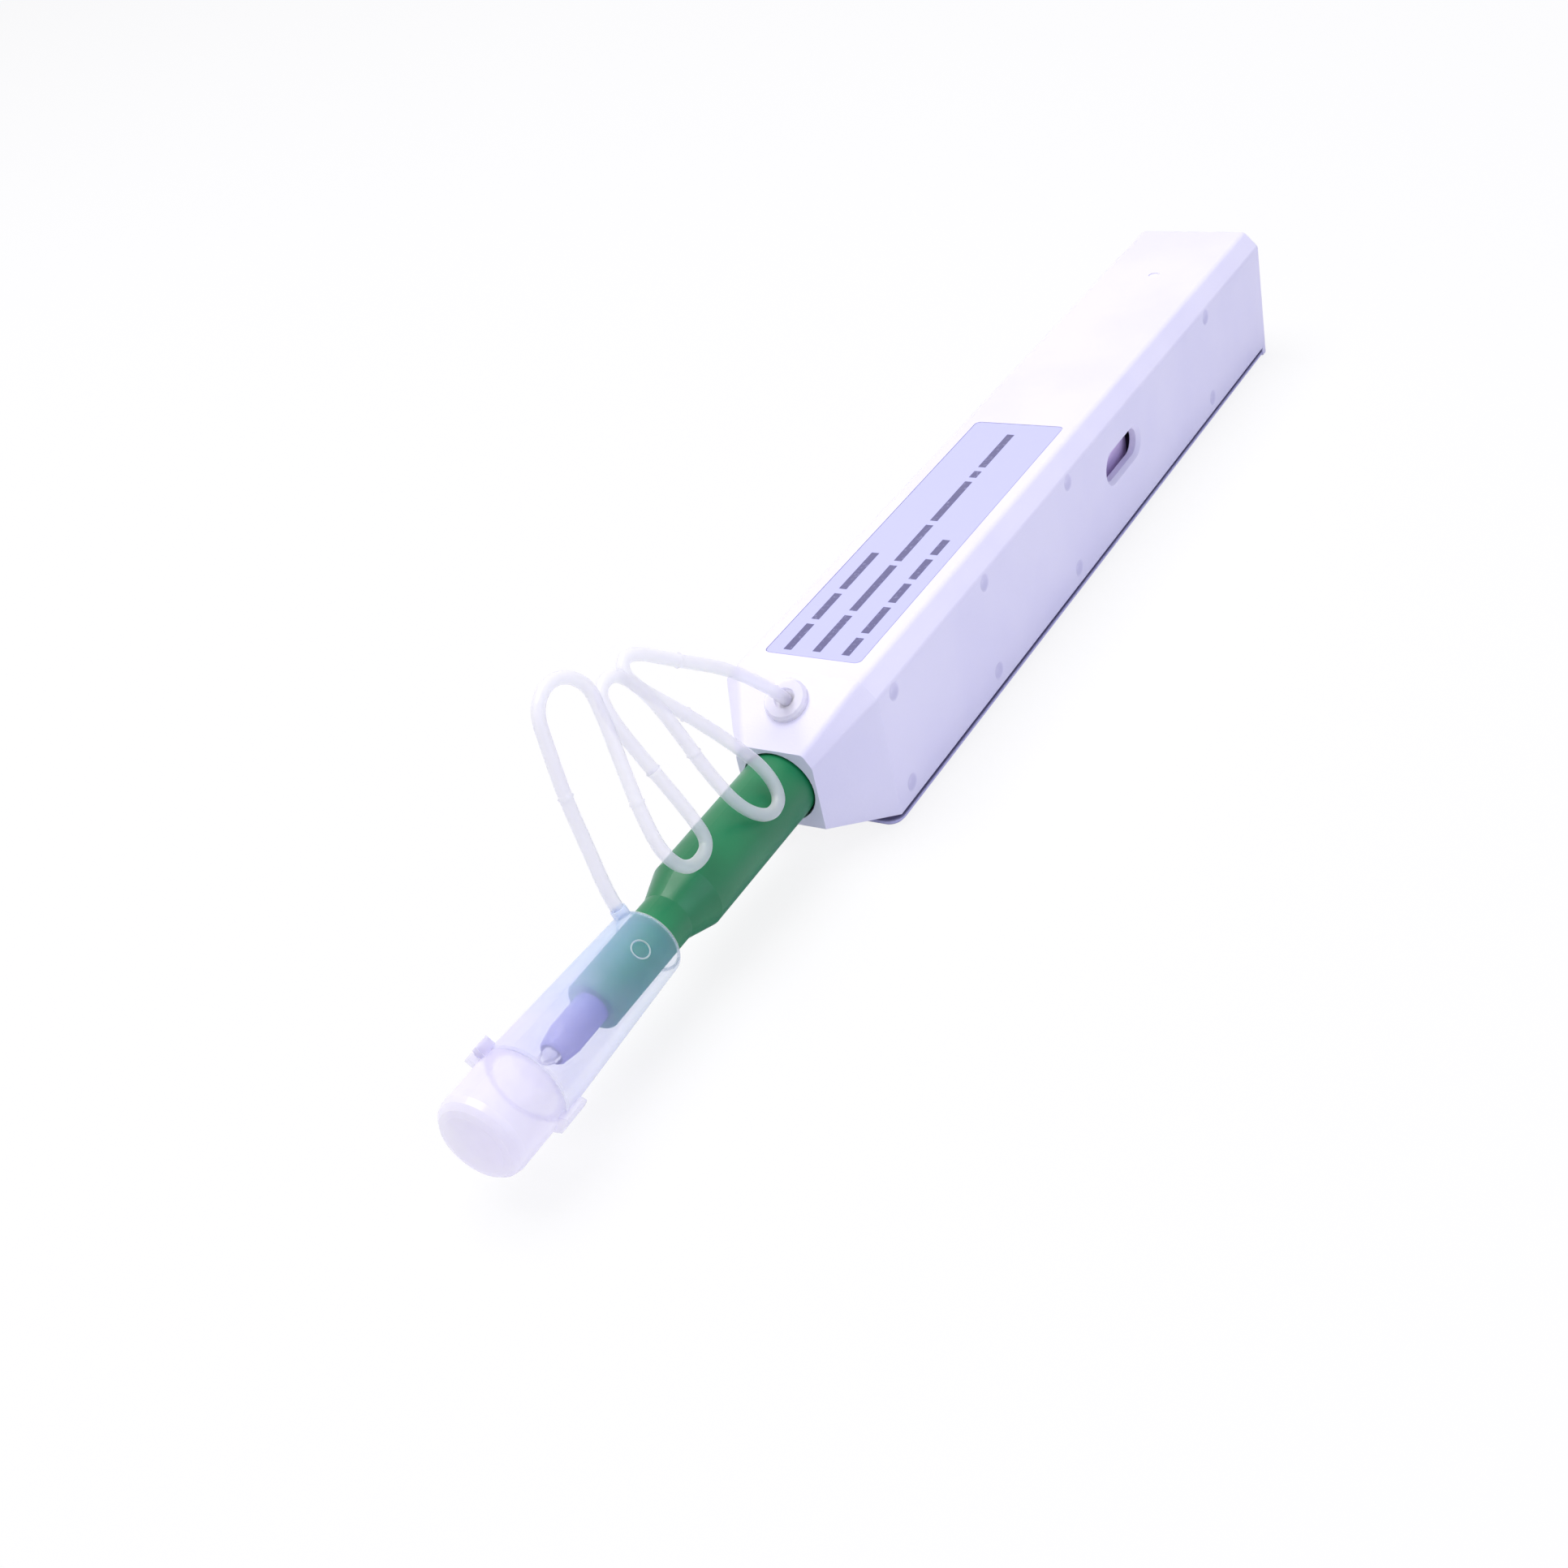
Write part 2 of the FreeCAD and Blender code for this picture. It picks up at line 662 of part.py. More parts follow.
def gear_profile():
    """Corners of the involute gear in the XZ plane, one tooth pointing down."""
    rp, alpha = gear_pitch_radius, math.radians(pressure_angle)
    rb, tip = rp * math.cos(alpha), rp + gear_addendum
    root = rp - rack_addendum - tooth_clearance
    half = (math.pi * gear_module - tooth_backlash) / 4 / rp
    involute = math.tan(alpha) - alpha
    flank = [(root, half + involute)]
    for k in range(4):
        r = rb + (tip - rb) * k / 3
        a = math.acos(min(1.0, rb / r))
        flank.append((r, half + involute - (math.tan(a) - a)))
    points = []
    for i in range(gear_teeth):
        mid = -math.pi / 2 + 2 * math.pi * i / gear_teeth
        for r, a in flank:
            points.append((r, mid - a))
        for r, a in reversed(flank):
            points.append((r, mid + a))
    return [(take_up_x + r * math.cos(a), nozzle_z + r * math.sin(a)) for r, a in points]


def drive_gear():
    """Involute gear on the take-up reel's boss, in mesh with the rack."""
    blank = prism_y(gear_profile(), gear_y, gear_y + gear_width)
    return blank.cut(bar_y(take_up_x, nozzle_z, reel_boss() + fit, gear_y - 1,
                           gear_y + gear_width + 1))


def reel_boss():
    """Radius of the take-up reel's boss under the gear and beside the cover plate."""
    return take_up_hub - 0.45


def take_up_y():
    """Start of the take-up reel's first flange."""
    return gear_y + gear_width + rest_gap


def ratchet_y():
    """Start of the second flange, whose rim carries the ratchet teeth."""
    return take_up_y() + flange_thickness + take_up_lane


def ratchet_rim():
    """Saw-toothed flange."""
    points = []
    for i in range(ratchet_teeth):
        a = math.radians(57) + 2 * math.pi * i / ratchet_teeth
        step = 2 * math.pi / ratchet_teeth
        points += [(take_up_radius, a), (take_up_radius - ratchet_depth, a + 0.02),
                   (take_up_radius - ratchet_depth / 2, a + step / 2)]
    at = [(take_up_x + r * math.cos(a), nozzle_z + r * math.sin(a)) for r, a in points]
    return prism_y(at, ratchet_y(), ratchet_y() + flange_thickness)


def take_up_reel():
    """Reel for used thread: boss, plain flange, hub and ratchet flange."""
    y0, y1 = frame_inner_y + rest_gap, cover_plate_y() - rest_gap
    boss = bar_y(take_up_x, nozzle_z, reel_boss(), y0, y1)
    hub = bar_y(take_up_x, nozzle_z, take_up_hub, take_up_y(), ratchet_y() + 0.1)
    plain = bar_y(take_up_x, nozzle_z, take_up_radius, take_up_y(),
                  take_up_y() + flange_thickness)
    reel = boss.fuse([hub, plain, ratchet_rim()])
    return reel.cut(bar_y(take_up_x, nozzle_z, spindle_radius + fit, y0 - 1,
                          y1 + 1)).removeSplitter()


def pawl_pivot():
    """Place of the pawl's post, ahead of and above the take-up reel."""
    return take_up_x + take_up_radius + 2.1, frame_top - 0.9


def ratchet_pawl():
    """Leaf that clicks over the ratchet teeth and holds the reel."""
    px, pz = pawl_pivot()
    y0, y1 = ratchet_y() + 0.1, ratchet_y() + flange_thickness - 0.1
    eye = bar_y(px, pz, pawl_post_radius + 0.7, y0, y1)
    dx, dz = take_up_x - px, nozzle_z - pz
    reach = math.hypot(dx, dz)
    ux, uz = dx / reach, dz / reach
    tip = reach - take_up_radius - rest_gap
    nx, nz = -uz, ux
    arm = prism_y([(px + nx * 0.6, pz + nz * 0.6),
                   (px + ux * tip + nx * 0.3, pz + uz * tip + nz * 0.3),
                   (px + ux * tip - nx * 0.3, pz + uz * tip - nz * 0.3),
                   (px - nx * 0.6, pz - nz * 0.6)], y0, y1)
    bore = bar_y(px, pz, pawl_post_radius + fit, y0 - 1, y1 + 1)
    return eye.fuse(arm).cut(bore).removeSplitter()


def supply_outer_face():
    """Outer face of the supply reel, just inside the window wall."""
    return inner_half - 4 * rest_gap


def supply_inner_face():
    """Closed inner end of the supply reel's bore."""
    return supply_outer_face() - flange_thickness


def supply_start():
    """Start of the supply reel, past the brake washer."""
    return frame_inner_y + washer_thickness + 2 * rest_gap


def supply_reel():
    """Mauve reel of fresh thread; its closed face shows in the window."""
    y0, y1 = supply_start(), supply_outer_face()
    parts = [bar_y(supply_x, nozzle_z, supply_radius, y1 - flange_thickness, y1),
             bar_y(supply_x, nozzle_z, supply_radius, y0, y0 + flange_thickness)]
    hub = bar_y(supply_x, nozzle_z, supply_hub, y0, y1)
    bore = bar_y(supply_x, nozzle_z, spindle_radius + fit, y0 - 1, supply_inner_face())
    return hub.fuse(parts).cut(bore).removeSplitter()


def wound(x, inner, outer, y0, y1, sides=20):
    """Many-sided ring of wound thread round a reel's hub."""
    def face(radius):
        at = radius / math.cos(math.pi / sides)
        return [(x + at * math.cos(2 * math.pi * k / sides),
                 nozzle_z + at * math.sin(2 * math.pi * k / sides)) for k in range(sides)]
    return prism_y(face(outer), y0, y1).cut(prism_y(face(inner), y0 - 1, y1 + 1))


def brake_washer():
    """Washer that drags on the supply reel."""
    y0 = frame_inner_y + rest_gap
    ring = bar_y(supply_x, nozzle_z, 4.0, y0, y0 + washer_thickness)
    return ring.cut(bar_y(supply_x, nozzle_z, spindle_radius + fit, y0 - 1, y0 + 1))


def cleaning_thread():
    """Thread from the supply reel over the tip and back to the take-up reel."""
    t = thread_radius + 0.1
    x1 = tip_end_x + head_stand_out + t
    side = (head_radius + tip_bore) / 2
    top = guide_z + guide_bar_radius + t + rest_gap
    back_y = take_up_y() + flange_thickness + take_up_lane / 2
    throat = collar_x + tube_reach + shoulder_length
    slot_z = nozzle_z + 2.3
    points = [V(supply_x, strand_lane, nozzle_z + supply_wound + t),
              V(guide_x, strand_lane, top),
              V(bulkhead_x + 1.0, 1.6, slot_z),
              V(throat + 6, side, nozzle_z),
              V(x1, side, nozzle_z),
              V(x1, -side, nozzle_z),
              V(throat + 6.1, -side, nozzle_z),
              V(bulkhead_x + 1.1, -1.6, slot_z),
              V(guide_x + 0.2, -2.2, top),
              V(take_up_x, back_y, nozzle_z + take_up_wound + t)]
    solid, length, radii = route(points, thread_radius)
    print("thread length", round(length, 2), "radii", radii)
    return solid


def cap_point(x, radius, angle, along=0.0):
    """Point on the cap at a station, radius and angle from +Y towards +Z."""
    a = math.radians(angle)
    return V(x, radius * math.cos(a) - along * math.sin(a),
             nozzle_z + radius * math.sin(a) + along * math.cos(a))


def hinge_bar(radius, low, high):
    """Cylinder on the lid's hinge axis between two places along it."""
    x, r = lid_x - rest_gap / 2, cap_end_radius + hinge_rise
    a, b = cap_point(x, r, hinge_angle, low), cap_point(x, r, hinge_angle, high)
    return Part.makeCylinder(radius, high - low, a, b - a)


def knuckle_web(x0, x1, low, high):
    """Small web that joins a hinge knuckle to the cap or the lid."""
    inner = cap_end_radius - 0.45
    outer = cap_end_radius + hinge_rise + hinge_knuckle
    corners = [cap_point(x0, inner, hinge_angle, low), cap_point(x1, inner, hinge_angle, low),
               cap_point(x1, outer, hinge_angle, low), cap_point(x0, outer, hinge_angle, low)]
    return polygon(corners).extrude(cap_point(x0, inner, hinge_angle, high)
                                    - cap_point(x0, inner, hinge_angle, low))


def cap_sleeve():
    """Frosted guide cap: grip on the neck, ferrule bore in its end wall."""
    x0, x1 = cap_rim_x, cap_end_x
    grip, inner = neck_radius + rest_gap, cap_end_radius - cap_wall - 0.8
    step_x = x0 + cap_grip_length
    sleeve = turned(outline([(x0, grip + 0.2), (x0, cap_rim_radius - 0.3),
                             (x0 + 0.3, cap_rim_radius), (x1 - 0.2, cap_end_radius),
                             (x1, cap_end_radius - 0.2), (x1, ferrule_bore),
                             (x1 - ferrule_wall, ferrule_bore),
                             (x1 - ferrule_wall, inner), (step_x + 1, inner),
                             (step_x, grip), (x0 + 0.2, grip)]))
    half = hinge_middle / 2
    hinge_x = lid_x - rest_gap / 2
    web = knuckle_web(hinge_x - hinge_reach, hinge_x, -half, half)
    knuckle = hinge_bar(hinge_knuckle, -half, half)
    for_bore = hinge_bar(hinge_pin + fit, -hinge_width, hinge_width)
    lug_at = cap_point(x0 + lug_radius, grip + 0.4, lug_angle)
    lug_out = cap_point(0, 1, lug_angle) - cap_point(0, 0, lug_angle)
    lug = Part.makeCylinder(lug_radius, cap_rim_radius + lug_height - grip - 0.4,
                            lug_at, lug_out)
    facing = 48.0
    vent_out = cap_point(0, 1, facing) - cap_point(0, 0, facing)
    vent = Part.makeCylinder(vent_diameter / 2, 1.0,
                             cap_point(x0 + vent_from_rim, cap_rim_radius - 0.1, facing),
                             vent_out)
    wide = hinge_width / 2 + hinge_gap
    room = [hinge_bar(hinge_knuckle + hinge_gap, -wide, -half),
            hinge_bar(hinge_knuckle + hinge_gap, half, wide)]
    sleeve = sleeve.cut(room).fuse([web, knuckle, lug])
    return sleeve.cut([for_bore, vent]).removeSplitter()


def catch_tongue():
    """Round-ended thumb tongue of the lid that lies over the cap's end."""
    root_x = lid_x + rest_gap
    lift = cap_end_radius + rest_gap
    at = cap_point(root_x - catch_length + catch_radius, 0, catch_angle)
    out = cap_point(0, 1, catch_angle) - cap_point(0, 0, catch_angle)
    along = cap_point(0, 0, catch_angle, 1) - cap_point(0, 0, catch_angle)
    height = lift + catch_thickness + 1
    nose = Part.makeCylinder(catch_radius, height, at, out)
    side = along * catch_radius
    tail = polygon([at - side, at + side, at + side + V(2 * catch_length, 0, 0),
                    at - side + V(2 * catch_length, 0, 0)]).extrude(out * height)
    outline_ = nose.fuse(tail)
    top = lift + catch_thickness
    over = turned(outline([(root_x - catch_length, lift), (root_x - catch_length, top),
                           (root_x, top), (root_x, lift)]))
    root = turned(outline([(root_x, cap_end_radius - lid_wall / 2), (root_x, top),
                           (root_x + catch_root, top),
                           (root_x + catch_root + catch_thickness, cap_end_radius - 0.1),
                           (root_x + catch_root + catch_thickness,
                            cap_end_radius - lid_wall / 2)]))
    return [over.common(outline_), root.common(outline_)]


def cap_lid():
    """Hinged end lid with a rounded closed end, knuckles, pin and catch."""
    x0, x1 = lid_x, lid_x + lid_length
    r = cap_end_radius
    dome = quarter(x1 - lid_round, r, lid_round, lid_round, 3)
    floor_x = x1 - lid_round
    profile = [(x0, r - lid_wall), (x0, r), *dome, (x1, 0), (floor_x, 0),
               (floor_x, r - lid_wall)]
    half, wide = hinge_middle / 2 + hinge_gap, hinge_width / 2
    cup = turned(outline(profile)).cut(hinge_bar(hinge_knuckle + hinge_gap, -half, half))
    pieces = [hinge_bar(hinge_pin, -wide, wide)]
    for low, high in ((-wide, -half), (half, wide)):
        pieces += [hinge_bar(hinge_knuckle, low, high),
                   knuckle_web(lid_x, lid_x - rest_gap / 2 + hinge_reach, low, high)]
    return cup.fuse([*pieces, *catch_tongue()]).removeSplitter()


def write(name, shape):
    """Save one node; a compound of one solid is saved as that solid."""
    solids = shape.Solids
    if len(solids) != 1 or not shape.isValid():
        print("CHECK", name, "solids", len(solids), "valid", shape.isValid())
    (solids[0] if len(solids) == 1 else shape).exportStep("parts/%s.step" % name)


def main():
    os.makedirs("parts", exist_ok=True)
    inner_y = supply_start()
    write("upper_housing", upper_housing())
    write("bottom_cover", bottom_cover())
    write("label", label())
    write("tether_plug", tether_plug())
    write("tether", tether())
    write("nozzle_tube", nozzle_tube())
    write("tip_sleeve", tip_sleeve())
    write("carriage_frame", carriage_frame())
    write("frame_cover", frame_cover())
    write("ratchet_pawl", ratchet_pawl())
    write("rotor_shaft", rotor_shaft())
    write("tip_head", tip_head())
    write("take_up_reel", take_up_reel())
    write("drive_gear", drive_gear())
    write("take_up_thread", wound(take_up_x, take_up_hub + fit, take_up_wound,
                                  take_up_y() + flange_thickness + 0.1,
                                  ratchet_y() - 0.1))
    write("supply_reel", supply_reel())
    write("supply_thread", wound(supply_x, supply_hub + fit, supply_wound,
                                 inner_y + flange_thickness + 0.1,
                                 supply_inner_face() - 0.1))
    write("brake_washer", brake_washer())
    write("return_spring", coil(return_spring_radius, return_spring_wire,
                                return_spring_turns, back_x + wall + rest_gap,
                                rear_block_x - rest_gap))
    write("head_spring", coil(head_spring_radius, head_spring_wire, head_spring_turns,
                              frame_front_x + rest_gap,
                              frame_front_x + rest_gap + head_spring_length))
    write("cleaning_thread", cleaning_thread())
    write("cap_sleeve", cap_sleeve())
    write("cap_lid", cap_lid())


main()
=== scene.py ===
"""Dress a fibre connector cleaning pen: finishes, tether, return spring and studio.

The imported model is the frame. Everything is in metres, with +X towards the cap,
+Y out of the side with the reel window and +Z up out of the label.
"""

from __future__ import annotations

import logging
import math
from dataclasses import dataclass
from enum import Enum
from functools import reduce
from typing import Any, Iterable

import bmesh
import bpy
from mathutils import Matrix, Vector

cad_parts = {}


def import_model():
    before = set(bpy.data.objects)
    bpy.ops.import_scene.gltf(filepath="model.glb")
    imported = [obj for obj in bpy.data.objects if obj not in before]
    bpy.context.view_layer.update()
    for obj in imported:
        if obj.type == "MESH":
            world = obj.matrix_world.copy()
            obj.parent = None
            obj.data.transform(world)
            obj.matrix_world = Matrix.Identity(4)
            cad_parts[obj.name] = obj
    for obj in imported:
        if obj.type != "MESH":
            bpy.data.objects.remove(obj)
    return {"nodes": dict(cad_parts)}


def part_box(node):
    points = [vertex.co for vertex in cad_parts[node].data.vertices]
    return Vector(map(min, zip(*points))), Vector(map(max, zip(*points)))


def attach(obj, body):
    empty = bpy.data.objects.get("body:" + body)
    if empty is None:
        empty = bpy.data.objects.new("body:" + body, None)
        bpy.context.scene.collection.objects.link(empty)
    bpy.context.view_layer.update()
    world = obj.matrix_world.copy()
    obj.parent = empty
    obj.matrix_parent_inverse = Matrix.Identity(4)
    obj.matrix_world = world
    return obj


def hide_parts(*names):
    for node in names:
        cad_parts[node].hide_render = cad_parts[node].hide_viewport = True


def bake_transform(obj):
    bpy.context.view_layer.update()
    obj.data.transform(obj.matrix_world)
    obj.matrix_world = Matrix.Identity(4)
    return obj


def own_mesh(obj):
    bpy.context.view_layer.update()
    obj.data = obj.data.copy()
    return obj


log = logging.getLogger("cleaning_pen")
MM = 0.001
AXIS_HEIGHT = 9.6 * MM          # of the nozzle, the cap and the lid
LIGHT_SPREAD = (0.004, 0.004, 0.005)    # how far red, green and blue go inside
Colour = tuple[float, float, float, float]


def from_mm(x: float, y: float, z: float) -> Vector:
    """A point given in millimetres, in metres."""
    return Vector((x, y, z)) * MM


def linear(red: int, green: int, blue: int) -> Colour:
    """Turn a display colour of 0 to 255 into the shader's linear colour.

    Args:
        red: Red, 0 to 255.
        green: Green, 0 to 255.
        blue: Blue, 0 to 255.

    Returns:
        Linear red, green and blue with an alpha of 1.
    """
    def one(value: int) -> float:
        share = value / 255
        return share / 12.92 if share <= 0.04045 else ((share + 0.055) / 1.055) ** 2.4
    return one(red), one(green), one(blue), 1.0


class Grain(Enum):
    """How a moulded surface is textured."""

    POLISHED = "polished"
    SATIN = "satin"
    SPARK = "spark"


class Signal:
    """A shader socket that takes part in Python expressions."""

    def __init__(self, graph: "Graph", socket: bpy.types.NodeSocket) -> None:
        """Wrap one output socket of a graph.

        Args:
            graph: The tree that the socket belongs to.
            socket: The output that is wrapped.
        """
        self.graph = graph
        self.socket = socket

    def _math(self, operation: str, first: Any, second: Any) -> "Signal":
        """Add a Math node over two values or signals.

        Args:
            operation: The sum that the node does.
            first: Its first value or signal.
            second: Its second value or signal.

        Returns:
            The node's result.
        """
        return self.graph.node("ShaderNodeMath", {"operation": operation},
                               {0: first, 1: second})

    def __add__(self, other: Any) -> "Signal":
        """Sum."""
        return self._math("ADD", self, other)

    def __radd__(self, other: Any) -> "Signal":
        """Sum, reflected."""
        return self._math("ADD", other, self)

    def __sub__(self, other: Any) -> "Signal":
        """Difference."""
        return self._math("SUBTRACT", self, other)

    def __rsub__(self, other: Any) -> "Signal":
        """Difference, reflected."""
        return self._math("SUBTRACT", other, self)

    def __mul__(self, other: Any) -> "Signal":
        """Product."""
        return self._math("MULTIPLY", self, other)

    def __rmul__(self, other: Any) -> "Signal":
        """Product, reflected."""
        return self._math("MULTIPLY", other, self)

    def near(self, centre: float, reach: float) -> "Signal":
        """1 where the signal is within reach of a centre, and 0 elsewhere.

        Args:
            centre: Middle of the span.
            reach: Half of the span.

        Returns:
            The mask.
        """
        return self.graph.node("ShaderNodeMath", {"operation": "COMPARE"},
                               {0: self, 1: centre, 2: reach})

    def either(self, other: Any) -> "Signal":
        """The larger of two signals."""
        return self._math("MAXIMUM", self, other)

    def ramp(self, low: float, high: float, start: float = 0.0,
             end: float = 1.0) -> "Signal":
        """Ease from start to end while the signal goes from low to high.

        Args:
            low: Where the change starts.
            high: Where it ends.
            start: Result at low and below it.
            end: Result at high and above it.

        Returns:
            The eased signal.
        """
        return self.graph.node(
            "ShaderNodeMapRange", {"interpolation_type": "SMOOTHSTEP", "clamp": True},
            {"Value": self, "From Min": low, "From Max": high, "To Min": start,
             "To Max": end})


class Graph:
    """The node tree of one material or world, built node by node."""

    def __init__(self, owner: bpy.types.Material | bpy.types.World) -> None:
        """Start an empty tree.

        Args:
            owner: The new material or world that the nodes belong to.
        """
        owner.use_nodes = True
        self.owner = owner
        self.tree = owner.node_tree
        self.tree.nodes.clear()

    def node(self, kind: str, settings: dict[str, Any] | None = None,
             inputs: dict[Any, Any] | None = None, output: Any = 0) -> Any:
        """Add one node.

        Args:
            kind: The node's type.
            settings: Attributes set before its sockets are filled.
            inputs: Values or signals by socket name or number.
            output: Name or number of the output that is returned, or None.

        Returns:
            The chosen output as a signal, or None where none is asked for.
        """
        made = self.tree.nodes.new(kind)
        for name, value in (settings or {}).items():
            setattr(made, name, value)
        for name, value in (inputs or {}).items():
            if isinstance(value, Signal):
                self.tree.links.new(value.socket, made.inputs[name])
            else:
                made.inputs[name].default_value = value
        return None if output is None else Signal(self, made.outputs[output])

    def place(self) -> Signal:
        """Where a surface point is on its own piece."""
        return self.node("ShaderNodeTexCoord", output="Object")

    def along(self) -> tuple[Signal, Signal, Signal]:
        """A surface point's X, Y and Z."""
        split = self.node("ShaderNodeSeparateXYZ", inputs={0: self.place()})
        outputs = split.socket.node.outputs
        return tuple(Signal(self, outputs[axis]) for axis in ("X", "Y", "Z"))

    def noise(self, scale: float, detail: float = 2.0, stretch: Vector | None = None,
              ) -> Signal:
        """Noise of 0 to 1 with so many cells to a metre, drawn out along an axis.

        Args:
            scale: Cells to a metre.
            detail: How many finer layers it has.
            stretch: Scale along each axis, or None for an even noise.

        Returns:
            The noise.
        """
        place = self.place()
        if stretch is not None:
            place = self.node("ShaderNodeMapping", inputs={"Vector": place,
                                                           "Scale": stretch})
        return self.node("ShaderNodeTexNoise", {"noise_dimensions": "3D"},
                         {"Vector": place, "Scale": scale, "Detail": detail}, "Fac")

    def blend(self, factor: Any, first: Any, second: Any) -> Signal:
        """Mix two colours.

        Args:
            factor: 0 for the first colour, 1 for the second.
            first: The first colour.
            second: The second colour.

        Returns:
            The mixed colour.
        """
        return self.node("ShaderNodeMix", {"data_type": "RGBA"},
                         {0: factor, 6: first, 7: second}, 2)

    def bump(self, height: Signal, depth: float) -> Signal:
        """A normal from a height of 0 to 1 that stands for a depth in metres.

        Args:
            height: Height of the surface, 0 to 1.
            depth: Metres between 0 and 1.

        Returns:
            The bent normal.
        """
        return self.node("ShaderNodeBump", None,
                         {"Height": height, "Distance": depth, "Strength": 1.0})

    def surface(self, inputs: dict[str, Any]) -> Signal:
        """One Principled shader."""
        return self.node("ShaderNodeBsdfPrincipled", None, inputs)

    def seen_by(self, *rays: str) -> Signal:
        """1 for the kinds of ray that are named, and 0 for the rest.

        Args:
            rays: Kinds of ray, as the Light Path node names them.

        Returns:
            The mask.
        """
        path = self.node("ShaderNodeLightPath").socket.node
        return any_of(Signal(self, path.outputs[f"Is {ray} Ray"]) for ray in rays)

    def finished(self, shader: Signal) -> Any:
        """Send a shader to the tree's output and hand its owner back.

        Args:
            shader: The shader of the whole tree.

        Returns:
            The material or world that the tree belongs to.
        """
        is_world = isinstance(self.owner, bpy.types.World)
        kind = "ShaderNodeOutputWorld" if is_world else "ShaderNodeOutputMaterial"
        self.node(kind, inputs={"Surface": shader}, output=None)
        return self.owner


def any_of(signals: Iterable[Signal]) -> Signal:
    """The largest of several signals."""
    return reduce(Signal.either, signals)


def new_graph(name: str) -> Graph:
    """Start a new material's tree."""
    return Graph(bpy.data.materials.new(name))


@dataclass(frozen=True)
class DimpleShade:
    """Painted shade in the round dimples on the window side: each hollow is coloured a
    little darker than the wall.
    """

    colour: Colour
    stations: tuple[float, ...]
    heights: tuple[float, float] = (3.5 * MM, 16.7 * MM)
    radius: float = 1.1 * MM
    soft_edge: tuple[float, float] = (0.8, 1.15)
    side: float = 10.2 * MM
    side_fade: float = 0.1 * MM
    strength: float = 0.45

    def one_dimple_shade(self, x: Signal, z: Signal, station: float, height: float) -> Signal:
        """Painted shade in one round dimple.

        Args:
            x: A surface point's X.
            z: A surface point's Z.
            station: X of the mark's middle.
            height: Z of the mark's middle.

        Returns:
            1 inside the mark and 0 outside it.
        """
        across, up = x - station, z - height
        near, far = ((self.radius * share) ** 2 for share in self.soft_edge)
        return (across * across + up * up).ramp(near, far, 1.0, 0.0)

    def mask(self, graph: Graph) -> Signal:
        """Painted shade in every dimple on the window side.

        Args:
            graph: The material's node tree.

        Returns:
            The strength in the hollows and 0 on the wall round them.
        """
        x, y, z = graph.along()
        dimple_shade = any_of(self.one_dimple_shade(x, z, station, height)
                       for station in self.stations for height in self.heights)
        return dimple_shade * y.ramp(self.side - self.side_fade, self.side) * self.strength


@dataclass(frozen=True)
class SeamShadow:
    """Painted shadow of the gap between the housing and the cover: a darker band along the
    top edge of the cover's rim.
    """

    colour: Colour
    bottom: float
    top: float
    wander: float = 0.1 * MM
    strength: float = 0.9

    def mask(self, graph: Graph) -> Signal:
        """The painted seam shadow with its ragged edge.

        Args:
            graph: The material's node tree.

        Returns:
            The strength in the seam and 0 below it.
        """
        _, _, z = graph.along()
        ragged = z + (graph.noise(900.0) - 0.5) * self.wander
        return ragged.ramp(self.bottom, self.top, 0.0, self.strength)


@dataclass(frozen=True)
class MouldedPlastic:
    """Opaque moulded plastic with a grain and slow changes of tone."""

    name: str
    colour: Colour
    shade: Colour
    grain: Grain = Grain.SATIN
    roughness: float = 0.42
    soft_light: float = 0.0
    seam_shadow: SeamShadow | None = None
    dimple_shade: DimpleShade | None = None

    def grain_size(self) -> tuple[float, float]:
        """Cells to a metre and depth in metres of the grain.

        Returns:
            The cells, and the depth.
        """
        return {Grain.POLISHED: (900.0, 0.000004), Grain.SATIN: (2600.0, 0.000006),
                Grain.SPARK: (4200.0, 0.000016)}[self.grain]

    def material(self) -> bpy.types.Material:
        """Build the material.

        Returns:
            The material, with its node tree.
        """
        graph = new_graph(self.name)
        cells, depth = self.grain_size()
        tone = graph.noise(55.0, 3.0).ramp(0.35, 0.7)
        grain = graph.noise(cells, 3.0)
        colour = graph.blend(tone, self.colour, self.shade)
        # Painted shade: the seam and the dimples are coloured darker where the gap and the
        # hollows lie in shadow.
        for detail in (self.seam_shadow, self.dimple_shade):
            if detail:
                colour = graph.blend(detail.mask(graph), colour, detail.colour)
        return graph.finished(graph.surface({
            "Base Color": colour,
            "Roughness": graph.noise(180.0).ramp(0.3, 0.7, self.roughness - 0.05,
                                                 self.roughness + 0.07),
            "Subsurface Weight": self.soft_light,
            "Subsurface Radius": LIGHT_SPREAD,
            "Normal": graph.bump(grain, depth)}))


@dataclass(frozen=True)
class OuterSkin:
    """Where a hollow turned piece has its outside."""

    radius: float
    end_face: float
    fade: float = 0.1 * MM
    bore_share: float = 0.3

    def mask(self, graph: Graph) -> Signal:
        """The outside of the piece.

        Args:
            graph: The material's node tree.

        Returns:
            1 on the outside, and the bore's smaller share inside.
        """
        x, y, z = graph.along()
        rise = z - AXIS_HEIGHT
        wall = (y * y + rise * rise).ramp((self.radius - self.fade) ** 2,
                                          (self.radius + self.fade) ** 2)
        end = x.ramp(self.end_face - self.fade, self.end_face + self.fade)
        return wall.either(end) * (1 - self.bore_share) + self.bore_share


